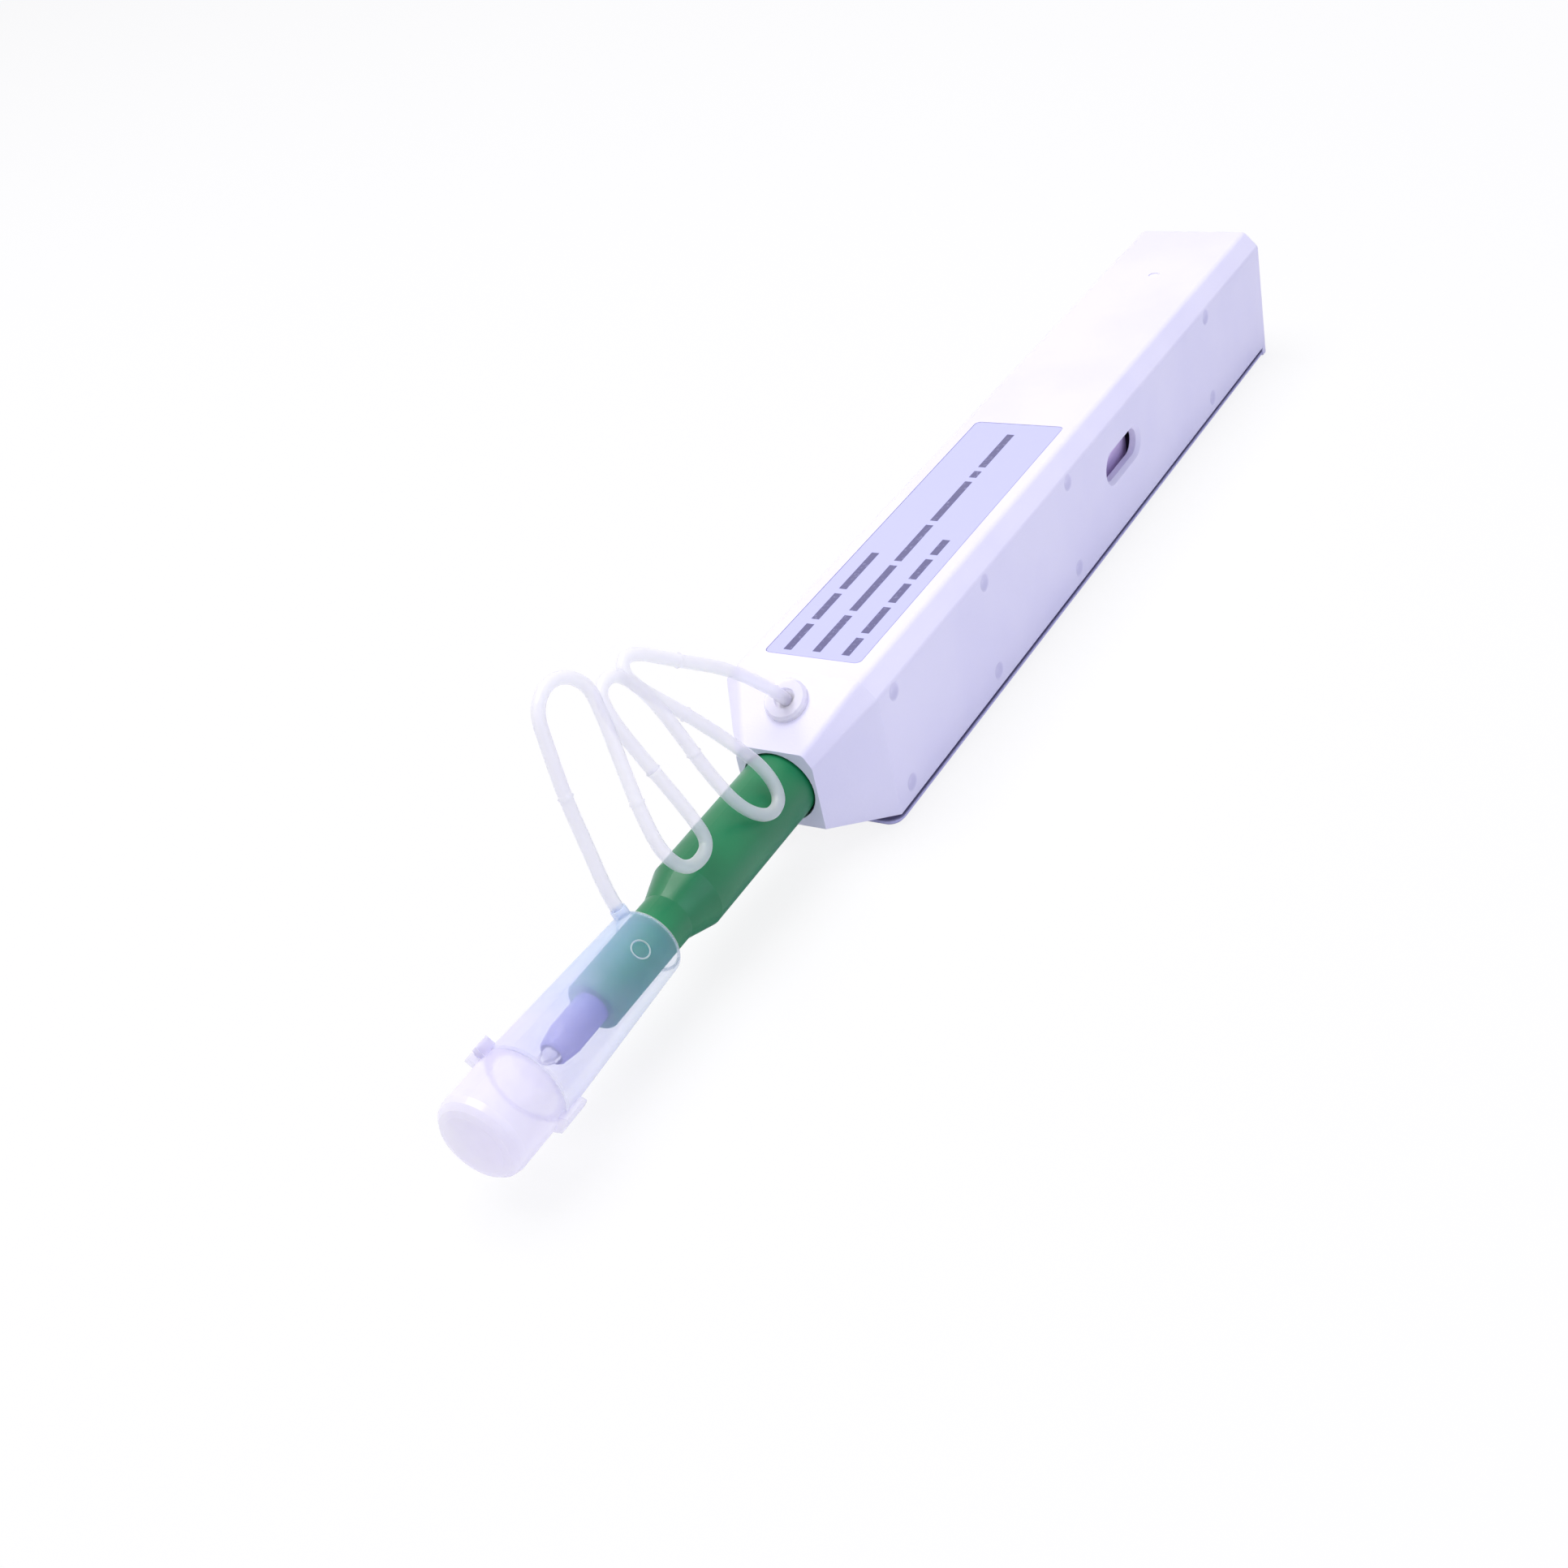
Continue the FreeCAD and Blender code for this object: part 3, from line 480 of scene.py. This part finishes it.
@dataclass(frozen=True)
class Haze:
    """Milkiness that grows towards one end and one side of a piece."""

    clear_until: float
    milky_from: float
    along: float
    aside: float
    side: tuple[float, float] = (-0.74, 0.673)
    clear_side: float = -1 * MM
    milky_side: float = 4 * MM

    def amount(self, graph: Graph) -> Signal:
        """How much is added to the veil.

        Args:
            graph: The material's node tree.

        Returns:
            The share that is added.
        """
        _, y, z = graph.along()
        off = y * self.side[0] + (z - AXIS_HEIGHT) * self.side[1]
        return (self.tone(graph) * self.along
                + off.ramp(self.clear_side, self.milky_side, 0.0, self.aside))

    def tone(self, graph: Graph) -> Signal:
        """0 at the clear end and 1 at the milky one."""
        x, _, _ = graph.along()
        return x.ramp(self.clear_until, self.milky_from)


@dataclass(frozen=True)
class FrostedPlastic:
    """Translucent moulded plastic, milkier where it is seen edge on."""

    name: str
    colour: Colour
    shade: Colour
    veil: float
    edge: float
    roughness: float = 0.36
    glow: float = 0.8
    skin: OuterSkin | None = None
    haze: Haze | None = None

    def cover(self, graph: Graph) -> Signal:
        """How much of what lies behind is hidden.

        Args:
            graph: The material's node tree.

        Returns:
            The share that is hidden.
        """
        cloud = graph.noise(150.0, 3.0).ramp(0.3, 0.75, -0.02, 0.03)
        rim = graph.node("ShaderNodeLayerWeight", inputs={"Blend": 0.35},
                         output="Facing").ramp(0.3, 1.0, self.veil, self.edge)
        cover = rim + cloud
        if self.haze:
            cover = cover + self.haze.amount(graph)
        if self.skin:
            cover = cover * self.skin.mask(graph)
        return cover * (1 - graph.node("ShaderNodeNewGeometry", output="Backfacing"))

    def material(self) -> bpy.types.Material:
        """Build the material.

        Returns:
            The material, with its node tree.
        """
        graph = new_graph(self.name)
        flow = graph.noise(700.0, 4.0, Vector((0.25, 1.0, 1.0)))
        tone = graph.noise(90.0, 3.0).ramp(0.3, 0.7, 0.0, 0.2 if self.haze else 1.0)
        if self.haze:
            tone = tone + self.haze.tone(graph) * 0.8
        return graph.finished(graph.surface({
            "Base Color": graph.blend(tone, self.colour, self.shade),
            "Alpha": self.cover(graph),
            "Roughness": graph.noise(420.0).ramp(0.3, 0.7, self.roughness - 0.08,
                                                 self.roughness + 0.1),
            "Subsurface Weight": self.glow,
            "Subsurface Radius": LIGHT_SPREAD,
            "Subsurface Scale": 1.0,
            "Coat Weight": 0.35,
            "Coat Roughness": 0.12,
            "Normal": graph.bump(flow, 0.000008)}))


@dataclass(frozen=True)
class LabelFilm:
    """Printed label: a plain field with bars in place of words."""

    name: str
    field: Colour
    ink: Colour
    bar_half_height: float = 0.55 * MM
    word_gap: float = 1.1 * MM

    def lines(self) -> list[tuple[float, float, list[float]]]:
        """Rows as (first X, Y of the middle, word lengths), in metres.

        Returns:
            The rows.
        """
        rows = ((25.7, -3.9, (5.9, 6.1, 9.0)),
                (25.4, 0.0, (8.3, 11.0, 9.2, 10.6, 1.8, 9.4)),
                (25.4, 4.0, (3.9, 6.0, 4.5, 4.9, 3.8)))
        return [(start * MM, middle * MM, [word * MM for word in words])
                for start, middle, words in rows]

    def row(self, x: Signal, start: float, words: list[float]) -> Signal:
        """One row of bars.

        Args:
            x: A surface point's X.
            start: X where the first bar starts.
            words: The bars' lengths.

        Returns:
            1 on the bars' stretches and 0 between them.
        """
        bars, edge = [], start
        for length in words:
            bars.append(x.near(edge - length / 2, length / 2))
            edge -= length + self.word_gap
        return any_of(bars)

    def material(self) -> bpy.types.Material:
        """Build the material.

        Returns:
            The material, with its node tree.
        """
        graph = new_graph(self.name)
        x, y, _ = graph.along()
        bars = any_of(self.row(x, start, words) * y.near(middle, self.bar_half_height)
                      for start, middle, words in self.lines())
        ink = bars * graph.noise(2400.0, 2.0).ramp(0.25, 0.45, 0.72, 1.0)
        return graph.finished(graph.surface({
            "Base Color": graph.blend(ink, self.field, self.ink),
            "Roughness": graph.noise(300.0).ramp(0.3, 0.7, 0.38, 0.5) - ink * 0.1,
            "Normal": graph.bump(graph.noise(1500.0), 0.000006)}))


@dataclass(frozen=True)
class DrawnMetal:
    """Steel wire or turned pin with fine lines along its draw."""

    name: str
    colour: Colour
    shade: Colour = linear(120, 122, 126)
    roughness: float = 0.28

    def material(self) -> bpy.types.Material:
        """Build the material.

        Returns:
            The material, with its node tree.
        """
        graph = new_graph(self.name)
        lines = graph.noise(1800.0, 3.0, Vector((0.15, 1.0, 1.0)))
        return graph.finished(graph.surface({
            "Base Color": graph.blend(lines.ramp(0.3, 0.7), self.colour, self.shade),
            "Metallic": 1.0,
            "Roughness": lines.ramp(0.3, 0.7, self.roughness, self.roughness + 0.2),
            "Normal": graph.bump(lines, 0.000005)}))


@dataclass(frozen=True)
class WoundThread:
    """Lint-free thread laid round and round a hub."""

    name: str
    colour: Colour
    shade: Colour = linear(206, 205, 210)

    def material(self) -> bpy.types.Material:
        """Build the material.

        Returns:
            The material, with its node tree.
        """
        graph = new_graph(self.name)
        strands = graph.node("ShaderNodeTexWave", {"wave_type": "BANDS",
                                                   "bands_direction": "Y"},
                             {"Vector": graph.place(), "Scale": 900.0,
                              "Distortion": 2.5, "Detail": 2.0}, "Fac")
        fuzz = graph.noise(5200.0, 3.0)
        return graph.finished(graph.surface({
            "Base Color": graph.blend(strands.ramp(0.1, 0.9), self.shade, self.colour),
            "Roughness": fuzz.ramp(0.3, 0.7, 0.75, 0.95),
            "Normal": graph.bump(strands + fuzz * 0.4, 0.00008)}))


class Wardrobe:
    """Every finish of the pen, each made once."""

    def __init__(self) -> None:
        """Build the materials."""
        # Painted shade: darker colour in the dimples of the window side.
        dimple_shade = DimpleShade(linear(196, 193, 220), tuple(
            station * MM for station in (-76.35, -24.75, 1.45, 26.45)))
        self.shell = MouldedPlastic("shell_white", linear(242, 240, 253),
                                    linear(237, 235, 251), Grain.SPARK, 0.5, 0.1,
                                    dimple_shade=dimple_shade).material()
        # Painted shade: the cover is the housing's white plastic, given a darker, bluer
        # colour for the shade along the pen's underside.
        self.underside = MouldedPlastic("cover_white_painted_shade", linear(208, 206, 238),
                                        linear(200, 198, 232), Grain.SPARK,
                                        # Painted shadow: a darker band in the seam between
                                        # the housing and the cover.
                                        0.52, seam_shadow=SeamShadow(linear(96, 92, 124), 0.6 * MM,
                                                        0.85 * MM)).material()
        self.green = MouldedPlastic("nozzle_green", linear(18, 133, 80),
                                    linear(12, 120, 71), Grain.SATIN, 0.36).material()
        self.tip = MouldedPlastic("tip_grey", linear(128, 125, 188),
                                  linear(118, 115, 178), Grain.SATIN, 0.4).material()
        self.inside = MouldedPlastic("inner_mauve", linear(172, 154, 190),
                                     linear(160, 142, 180), Grain.SATIN, 0.45).material()
        # Painted light: the reels' own mauve tint is made much lighter, so that they read
        # bright behind the window where little light reaches.
        self.reel = MouldedPlastic("reel_mauve", linear(250, 230, 255),
                                   linear(238, 218, 252), Grain.POLISHED,
                                   0.32).material()
        self.slick = MouldedPlastic("slick_white", linear(226, 225, 222),
                                    linear(216, 215, 214), Grain.POLISHED,
                                    0.3).material()
        self.rubber = MouldedPlastic("rubber_dark", linear(40, 40, 44),
                                     linear(32, 32, 36), Grain.SPARK, 0.75).material()
        self.strand = FrostedPlastic("frosted_strand", linear(246, 244, 254),
                                     linear(238, 235, 252), 0.62, 0.97).material()
        self.plug = FrostedPlastic("frosted_plug", linear(238, 235, 252),
                                   linear(230, 227, 249), 0.6, 0.8).material()
        self.cap = FrostedPlastic(
            "frosted_cap", linear(148, 184, 254), linear(212, 209, 252), 0.3, 0.5,
            skin=OuterSkin(4.0 * MM, 1.0),
            haze=Haze(72 * MM, 88 * MM, 0.16, 0.28)).material()
        self.lid = FrostedPlastic(
            "frosted_lid", linear(231, 225, 255), linear(222, 214, 255), 0.6, 0.75,
            skin=OuterSkin(4.75 * MM, 99.5 * MM)).material()
        # Painted highlight: a whiter, more opaque frosting than the cap's, for the bright
        # lines of the beads round the cap's mouth and vent.
        self.lip_highlight = FrostedPlastic("frosted_lip_highlight", linear(246, 245, 255),
                                  linear(240, 238, 253), 0.7, 0.85).material()
        self.label = LabelFilm("label_film", linear(203, 204, 243),
                               linear(100, 97, 138)).material()
        self.steel = DrawnMetal("spring_steel", linear(178, 180, 184)).material()
        self.thread = WoundThread("wound_thread", linear(240, 239, 236)).material()


def wear(piece: bpy.types.Object, material: bpy.types.Material) -> None:
    """Give a carried-over piece of the frame one finish.

    Args:
        piece: The piece.
        material: Its finish.
    """
    piece.data.materials.clear()
    piece.data.materials.append(material)
    log.info("dressed %s in %s", piece.name, material.name)


def new_piece(name: str, mesh: bpy.types.Mesh,
              material: bpy.types.Material) -> bpy.types.Object:
    """Link a mesh into the scene as one named piece with one finish.

    Args:
        name: Name of the piece and its mesh.
        mesh: The finished mesh.
        material: Its finish.

    Returns:
        The new piece, shaded smooth.
    """
    mesh.materials.clear()
    mesh.materials.append(material)
    mesh.name = name
    piece = bpy.data.objects.new(name, mesh)
    bpy.context.scene.collection.objects.link(piece)
    for face in mesh.polygons:
        face.use_smooth = True
    log.info("built %s", name)
    return piece


def curve_mesh(name: str, points: list[Vector], kind: str, radius: float = 0.0,
               swell: list[float] | None = None) -> bpy.types.Mesh:
    """Turn a line of points into a mesh: a bare line, or a closed round tube.

    Args:
        name: Name of the temporary curve.
        points: The line's points, in metres.
        kind: NURBS for a smooth line near the points, POLY for one through them.
        radius: The tube's radius, or 0 for a bare line.
        swell: How much thicker the tube is at each point.

    Returns:
        The mesh, with the line's vertices in order where it is bare.
    """
    data = bpy.data.curves.new(name, "CURVE")
    data.dimensions = "3D"
    data.resolution_u = 10
    data.bevel_depth = radius
    data.bevel_resolution = 4
    data.use_fill_caps = True
    spline = data.splines.new(kind)
    spline.points.add(len(points) - 1)
    for number, (point, place) in enumerate(zip(spline.points, points)):
        point.co = (*place, 1.0)
        point.radius = swell[number] if swell else 1.0
    if kind == "NURBS":
        spline.order_u = 3
        spline.use_endpoint_u = True
    holder = bpy.data.objects.new(name, data)
    bpy.context.scene.collection.objects.link(holder)
    mesh = bpy.data.meshes.new_from_object(
        holder.evaluated_get(bpy.context.evaluated_depsgraph_get()))
    bpy.data.objects.remove(holder)
    bpy.data.curves.remove(data)
    return mesh


@dataclass
class Tether:
    """Moulded zigzag strap from the plug on the nose to the cap."""

    diameter: float = 1.55 * MM
    collar_reach: float = 0.35 * MM
    collar_swell: float = 1.2
    collar_catch: float = 3 * MM
    division: tuple[float, float, float] = (57.3, -1.85, 24.7)
    housing_reach: tuple[float, float, float] = (20, 0, 0)
    carriage_end: tuple[float, float, float] = (57.5, 0, 20)
    cap_end: tuple[float, float, float] = (68.5, 0, 20)

    def route(self) -> list[Vector]:
        """The strap's own points, from the plug to the cap."""
        return [from_mm(*point) for point in (
            (33.438, 0.0, 18.526), (34.617, 0.0, 20.383), (38.85, -2.7, 26.0),
            (44.75, -4.97, 30.58), (50.25, -7.4, 35.1), (53.1, -6.4, 33.3),
            (48.47, -2.62, 26.16), (45.43, 0.46, 20.37), (43.79, 2.79, 15.99),
            (44.81, 4.65, 13.03), (48.02, 4.8, 12.73), (50.45, 3.02, 15.55),
            (51.15, 0.38, 20.53), (51.04, -2.13, 25.23), (51.18, -4.78, 30.23),
            (53.11, -6.99, 34.38), (56.88, -6.89, 34.2), (57.74, -5.15, 30.92),
            (57.31, -1.85, 24.71), (56.85, 1.15, 19.07), (57.17, 3.15, 15.32),
            (61.78, 3.2, 15.22), (63.44, 1.57, 18.28), (62.31, -0.78, 22.7),
            (60.26, -3.38, 27.59), (58.33, -5.65, 31.87), (57.17, -7.66, 35.64),
            (60.36, -9.2, 38.12), (64.63, -8.97, 36.83), (66.03, -7.47, 32.51),
            (67.33, -5.96, 27.34), (67.91, -4.53, 22.08), (68.9, -2.697, 16.276),
            (68.9, -1.985, 14.514))]

    def collars(self) -> list[Vector]:
        """Where the mould leaves a raised ring on the strap."""
        return [from_mm(*point) for point in (
            (44.75, -4.97, 30.58), (48.6, -2.7, 26.3), (51.1, -0.9, 22.9),
            (57.3, -1.85, 24.7), (61.9, -1.3, 23.7), (67.2, -6.0, 27.5))]

    def swell(self, line: list[Vector]) -> list[float]:
        """How much thicker the strap is at each point of its line.

        Args:
            line: The points of the strap or of one stretch of it.

        Returns:
            A factor for each point, above 1 at the raised rings.
        """
        factors = [1.0] * len(line)
        for ring in self.collars():
            top = self.nearest(line, ring)
            if (top - ring).length < self.collar_catch:
                factors[line.index(top)] = self.collar_swell
        return factors

    def nearest(self, line: list[Vector], ring: Vector) -> Vector:
        """The line's point that is nearest to a ring."""
        return min(line, key=lambda point: (point - ring).length)

    def fine(self, line: list[Vector], step: float) -> list[Vector]:
        """The line again with points no further apart than a step.

        Args:
            line: The line.
            step: The longest distance between two points.

        Returns:
            The finer line.
        """
        dense = [line[0]]
        for a, b in zip(line, line[1:]):
            parts = max(1, math.ceil((b - a).length / step))
            dense += [a.lerp(b, k / parts) for k in range(1, parts + 1)]
        return dense

    def build(self, wardrobe: Wardrobe) -> None:
        """Make the strap in two lengths, one each side of the nozzle's travel.

        Args:
            wardrobe: The finishes.
        """
        spline = curve_mesh("strap_line", self.route(), "NURBS")
        line = self.fine([vertex.co.copy() for vertex in spline.vertices],
                         self.collar_reach)
        bpy.data.meshes.remove(spline)
        cut = line.index(self.nearest(line, from_mm(*self.division)))
        reach_out, reach_back = line[:cut + 1], line[cut:]
        first = self.stretch("strap_to_housing", reach_out, wardrobe)
        last = self.stretch("strap_to_cap", reach_back, wardrobe)
        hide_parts("tether")
        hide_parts("tether")
        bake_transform(first)
        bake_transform(last)

    def stretch(self, name: str, line: list[Vector],
                wardrobe: Wardrobe) -> bpy.types.Object:
        """Round strap along one stretch of the line.

        Args:
            name: Name of the piece.
            line: The stretch's points.
            wardrobe: The finishes.

        Returns:
            The piece.
        """
        mesh = curve_mesh(name, line, "POLY", self.diameter / 2, self.swell(line))
        piece = new_piece(name, mesh, wardrobe.strand)
        return piece


@dataclass
class ReturnSpring:
    """Coil behind the carriage that pushes the nozzle out again."""

    wire: float = 0.7 * MM
    turns: int = 6
    steps: int = 20
    sides: int = 10
    stroke: float = 10 * MM

    def coil(self, low: Vector, high: Vector) -> bpy.types.Mesh:
        """Sweep a round wire along a helix.

        Args:
            low: Lowest corner of the room that the coil fills.
            high: Highest corner of that room.

        Returns:
            The closed mesh of the coil.
        """
        mid_z = (high.z + low.z) / 2
        radius = (high.z - low.z) / 2 - self.wire / 2
        count = self.turns * self.steps
        advance = (high.x - low.x - self.wire) / count
        start = Vector((low.x + self.wire / 2, radius, mid_z))
        shape = bmesh.new()
        bmesh.ops.create_circle(
            shape, cap_ends=False, segments=self.sides, radius=self.wire / 2,
            matrix=Matrix.Translation(start))
        bmesh.ops.spin(shape, geom=[*shape.verts, *shape.edges], cent=(0, 0, mid_z),
                       axis=(1, 0, 0), dvec=(advance, 0, 0),
                       angle=math.tau * self.turns, steps=count)
        bmesh.ops.holes_fill(shape, edges=shape.edges[:], sides=self.sides)
        bmesh.ops.recalc_face_normals(shape, faces=shape.faces[:])
        mesh = bpy.data.meshes.new("return_coil")
        shape.to_mesh(mesh)
        shape.free()
        return mesh

    def build(self, wardrobe: Wardrobe) -> None:
        """Make the coil in the frame spring's place.

        Args:
            wardrobe: The finishes.
        """
        low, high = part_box("return_spring")
        piece = new_piece("return_coil", self.coil(low, high), wardrobe.steel)
        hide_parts("return_spring")
        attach(piece, "housing")
        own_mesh(piece)


@dataclass
class Shell:
    """Housing with its cover, label and plug."""

    nodes: dict[str, bpy.types.Object]

    def build(self, wardrobe: Wardrobe) -> None:
        """Dress the housing's pieces.

        Args:
            wardrobe: The finishes.
        """
        wear(self.nodes["upper_housing"], wardrobe.shell)
        wear(self.nodes["bottom_cover"], wardrobe.underside)
        wear(self.nodes["label"], wardrobe.label)
        wear(self.nodes["tether_plug"], wardrobe.plug)


@dataclass
class Nozzle:
    """Sliding nozzle with the rotor, the reels' carriage and the tip."""

    nodes: dict[str, bpy.types.Object]

    def build(self, wardrobe: Wardrobe) -> None:
        """Dress the carriage's pieces and what turns on it.

        Args:
            wardrobe: The finishes.
        """
        for node, finish in (("nozzle_tube", wardrobe.green),
                             ("tip_sleeve", wardrobe.tip),
                             ("carriage_frame", wardrobe.inside),
                             ("frame_cover", wardrobe.inside),
                             ("ratchet_pawl", wardrobe.slick),
                             ("rotor_shaft", wardrobe.steel),
                             ("tip_head", wardrobe.slick),
                             ("brake_washer", wardrobe.rubber),
                             ("head_spring", wardrobe.steel),
                             ("cleaning_thread", wardrobe.thread),
                             ("take_up_reel", wardrobe.reel),
                             ("drive_gear", wardrobe.slick),
                             ("take_up_thread", wardrobe.thread),
                             ("supply_reel", wardrobe.reel),
                             ("supply_thread", wardrobe.thread)):
            wear(self.nodes[node], finish)


@dataclass
class Cap:
    """Frosted guide cap with its hinged lid."""

    nodes: dict[str, bpy.types.Object]
    mouth_x: float = 67.95 * MM
    mouth_radius: float = 3.95 * MM
    mouth_highlight_bead: float = 0.17 * MM
    vent_from_rim: float = 4.6 * MM
    vent_radius: float = 1.08 * MM
    vent_bead: float = 0.1 * MM
    vent_reach: float = 4.48 * MM
    vent_angle: float = math.radians(48.0)
    bead_sides: int = 8
    bead_steps: int = 48
    same_place: float = 0.001 * MM

    def bead(self, name: str, radius: float, thickness: float, place: Matrix,
             wardrobe: Wardrobe) -> None:
        """Spin a thin round edge in the whiter lip finish, which paints a bright highlight
        line, and let it ride on the cap.

        Args:
            name: Name of the piece.
            radius: Radius of the ring's centre line.
            thickness: Radius of the bead itself.
            place: Where the ring's centre is, with the ring round its Z.
            wardrobe: The finishes.
        """
        shape = bmesh.new()
        turned = Matrix.Translation((radius, 0, 0)) @ Matrix.Rotation(
            math.pi / 2, 4, "X")
        bmesh.ops.create_circle(
            shape, cap_ends=False, segments=self.bead_sides, radius=thickness,
            matrix=turned)
        bmesh.ops.spin(shape, geom=[*shape.verts, *shape.edges], cent=(0, 0, 0),
                       axis=(0, 0, 1), angle=math.tau, steps=self.bead_steps, use_merge=True)
        bmesh.ops.remove_doubles(shape, verts=shape.verts[:], dist=self.same_place)
        bmesh.ops.recalc_face_normals(shape, faces=shape.faces[:])
        bmesh.ops.transform(shape, matrix=place, verts=shape.verts[:])
        mesh = bpy.data.meshes.new(name)
        shape.to_mesh(mesh)
        shape.free()
        piece = new_piece(name, mesh, wardrobe.lip_highlight)
        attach(piece, "cap")

    def build(self, wardrobe: Wardrobe) -> None:
        """Dress the cap and the lid, and round the mouth and the vent with whiter beads that
        paint bright highlight lines.

        Args:
            wardrobe: The finishes.
        """
        wear(self.nodes["cap_sleeve"], wardrobe.cap)
        wear(self.nodes["cap_lid"], wardrobe.lid)
        across = Matrix.Rotation(math.pi / 2, 4, "Y")
        mouth = Matrix.Translation((self.mouth_x, 0, AXIS_HEIGHT)) @ across
        # Painted highlight: the mouth's whiter bead stands in for the bright line along the
        # cap's rim.
        self.bead("mouth_highlight_bead", self.mouth_radius, self.mouth_highlight_bead, mouth, wardrobe)
        out = Vector((0, math.cos(self.vent_angle), math.sin(self.vent_angle)))
        at = Vector((self.mouth_x + self.vent_from_rim, 0, AXIS_HEIGHT))
        facing = Vector((0, 0, 1)).rotation_difference(out).to_matrix().to_4x4()
        vent = Matrix.Translation(at + out * self.vent_reach) @ facing
        self.bead("vent_bead", self.vent_radius, self.vent_bead, vent, wardrobe)


@dataclass
class Studio:
    """Pale floor, soft light, and the camera."""

    camera_at: tuple[float, float, float] = (0.20172, 0.12631, 0.1482)
    lens: float = 48.32
    sensor: float = 36.0
    near_clip: float = 0.01
    box_size: float = 0.6
    floor_half: float = 3.0
    floor_drop: float = 0.2 * MM
    floor_white: float = 0.86

    def camera(self) -> None:
        """Look down the pen from in front of its window side."""
        right = Vector((-0.4877, 0.8504, -0.1973))
        up = Vector((-0.5737, -0.1419, 0.8067))
        back = right.cross(up)
        data = bpy.data.cameras.new("camera")
        data.lens, data.sensor_width = self.lens, self.sensor
        data.clip_start = self.near_clip
        camera = bpy.data.objects.new("camera", data)
        turn = Matrix((right, up, back)).transposed()
        camera.matrix_world = Matrix.Translation(self.camera_at) @ turn.to_4x4()
        bpy.context.scene.collection.objects.link(camera)
        bpy.context.scene.camera = camera

    def lamp(self, name: str, place: Vector, power: float,
             colour: tuple[float, float, float]) -> None:
        """One square soft box that faces the pen.

        Args:
            name: Name of the lamp.
            place: Where it hangs.
            power: Its watts.
            colour: The colour of its light.
        """
        data = bpy.data.lights.new(name, "AREA")
        data.energy, data.size, data.color = power, self.box_size, colour
        lamp = bpy.data.objects.new(name, data)
        lamp.location = place
        lamp.rotation_euler = (-place).to_track_quat("-Z", "Y").to_euler()
        bpy.context.scene.collection.objects.link(lamp)

    def floor(self) -> None:
        """Wide white floor that keeps a soft shadow."""
        shape = bmesh.new()
        bmesh.ops.create_grid(shape, x_segments=1, y_segments=1, size=self.floor_half)
        mesh = bpy.data.meshes.new("floor")
        shape.to_mesh(mesh)
        shape.free()
        graph = new_graph("floor_white")
        tone = graph.noise(3.0).ramp(0.3, 0.7)
        matt = graph.surface({
            "Base Color": graph.blend(tone, (0.9, 0.9, 0.9, 1), (0.88, 0.88, 0.89, 1)),
            "Roughness": 0.9})
        white = graph.node("ShaderNodeEmission", None, {"Color": (1, 1, 1, 1),
                                                        "Strength": 1.0})
        seen = graph.seen_by("Camera", "Transmission")
        material = graph.finished(graph.node(
            "ShaderNodeMixShader", None, {0: seen * self.floor_white, 1: matt, 2: white}))
        floor = new_piece("floor", mesh, material)
        floor.location = (0, 0, -self.floor_drop)

    def world(self) -> None:
        """Even light from all round, with a white background."""
        graph = Graph(bpy.data.worlds.new("studio"))
        light = graph.node("ShaderNodeBackground", None,
                           {"Color": (0.7, 0.69, 1.0, 1), "Strength": 0.3})
        white = graph.node("ShaderNodeBackground", None,
                           {"Color": (1, 1, 1, 1), "Strength": 1.0})
        seen = graph.seen_by("Camera", "Glossy", "Transmission")
        bpy.context.scene.world = graph.finished(graph.node(
            "ShaderNodeMixShader", None, {0: seen, 1: light, 2: white}))

    def build(self) -> None:
        """Set the whole studio up."""
        bpy.context.scene.view_settings.view_transform = "Standard"
        self.camera()
        self.lamp("overhead", Vector((0.05, -0.2, 0.8)), 6.7, (1.0, 0.98, 0.97))
        self.lamp("window_side", Vector((0.1, 0.6, 0.36)), 1.42, (0.64, 0.67, 1.0))
        self.floor()
        self.world()


def main() -> None:
    """Load the frame, dress every sub-assembly and set the studio."""
    logging.basicConfig(level=logging.INFO, format="%(message)s")
    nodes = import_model()["nodes"]
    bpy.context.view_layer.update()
    wardrobe = Wardrobe()
    Studio().build()
    for assembly in (Tether(), Shell(nodes), Nozzle(nodes), Cap(nodes), ReturnSpring()):
        assembly.build(wardrobe)
        log.info("finished %s", type(assembly).__name__)


if __name__ == "__main__":
    main()
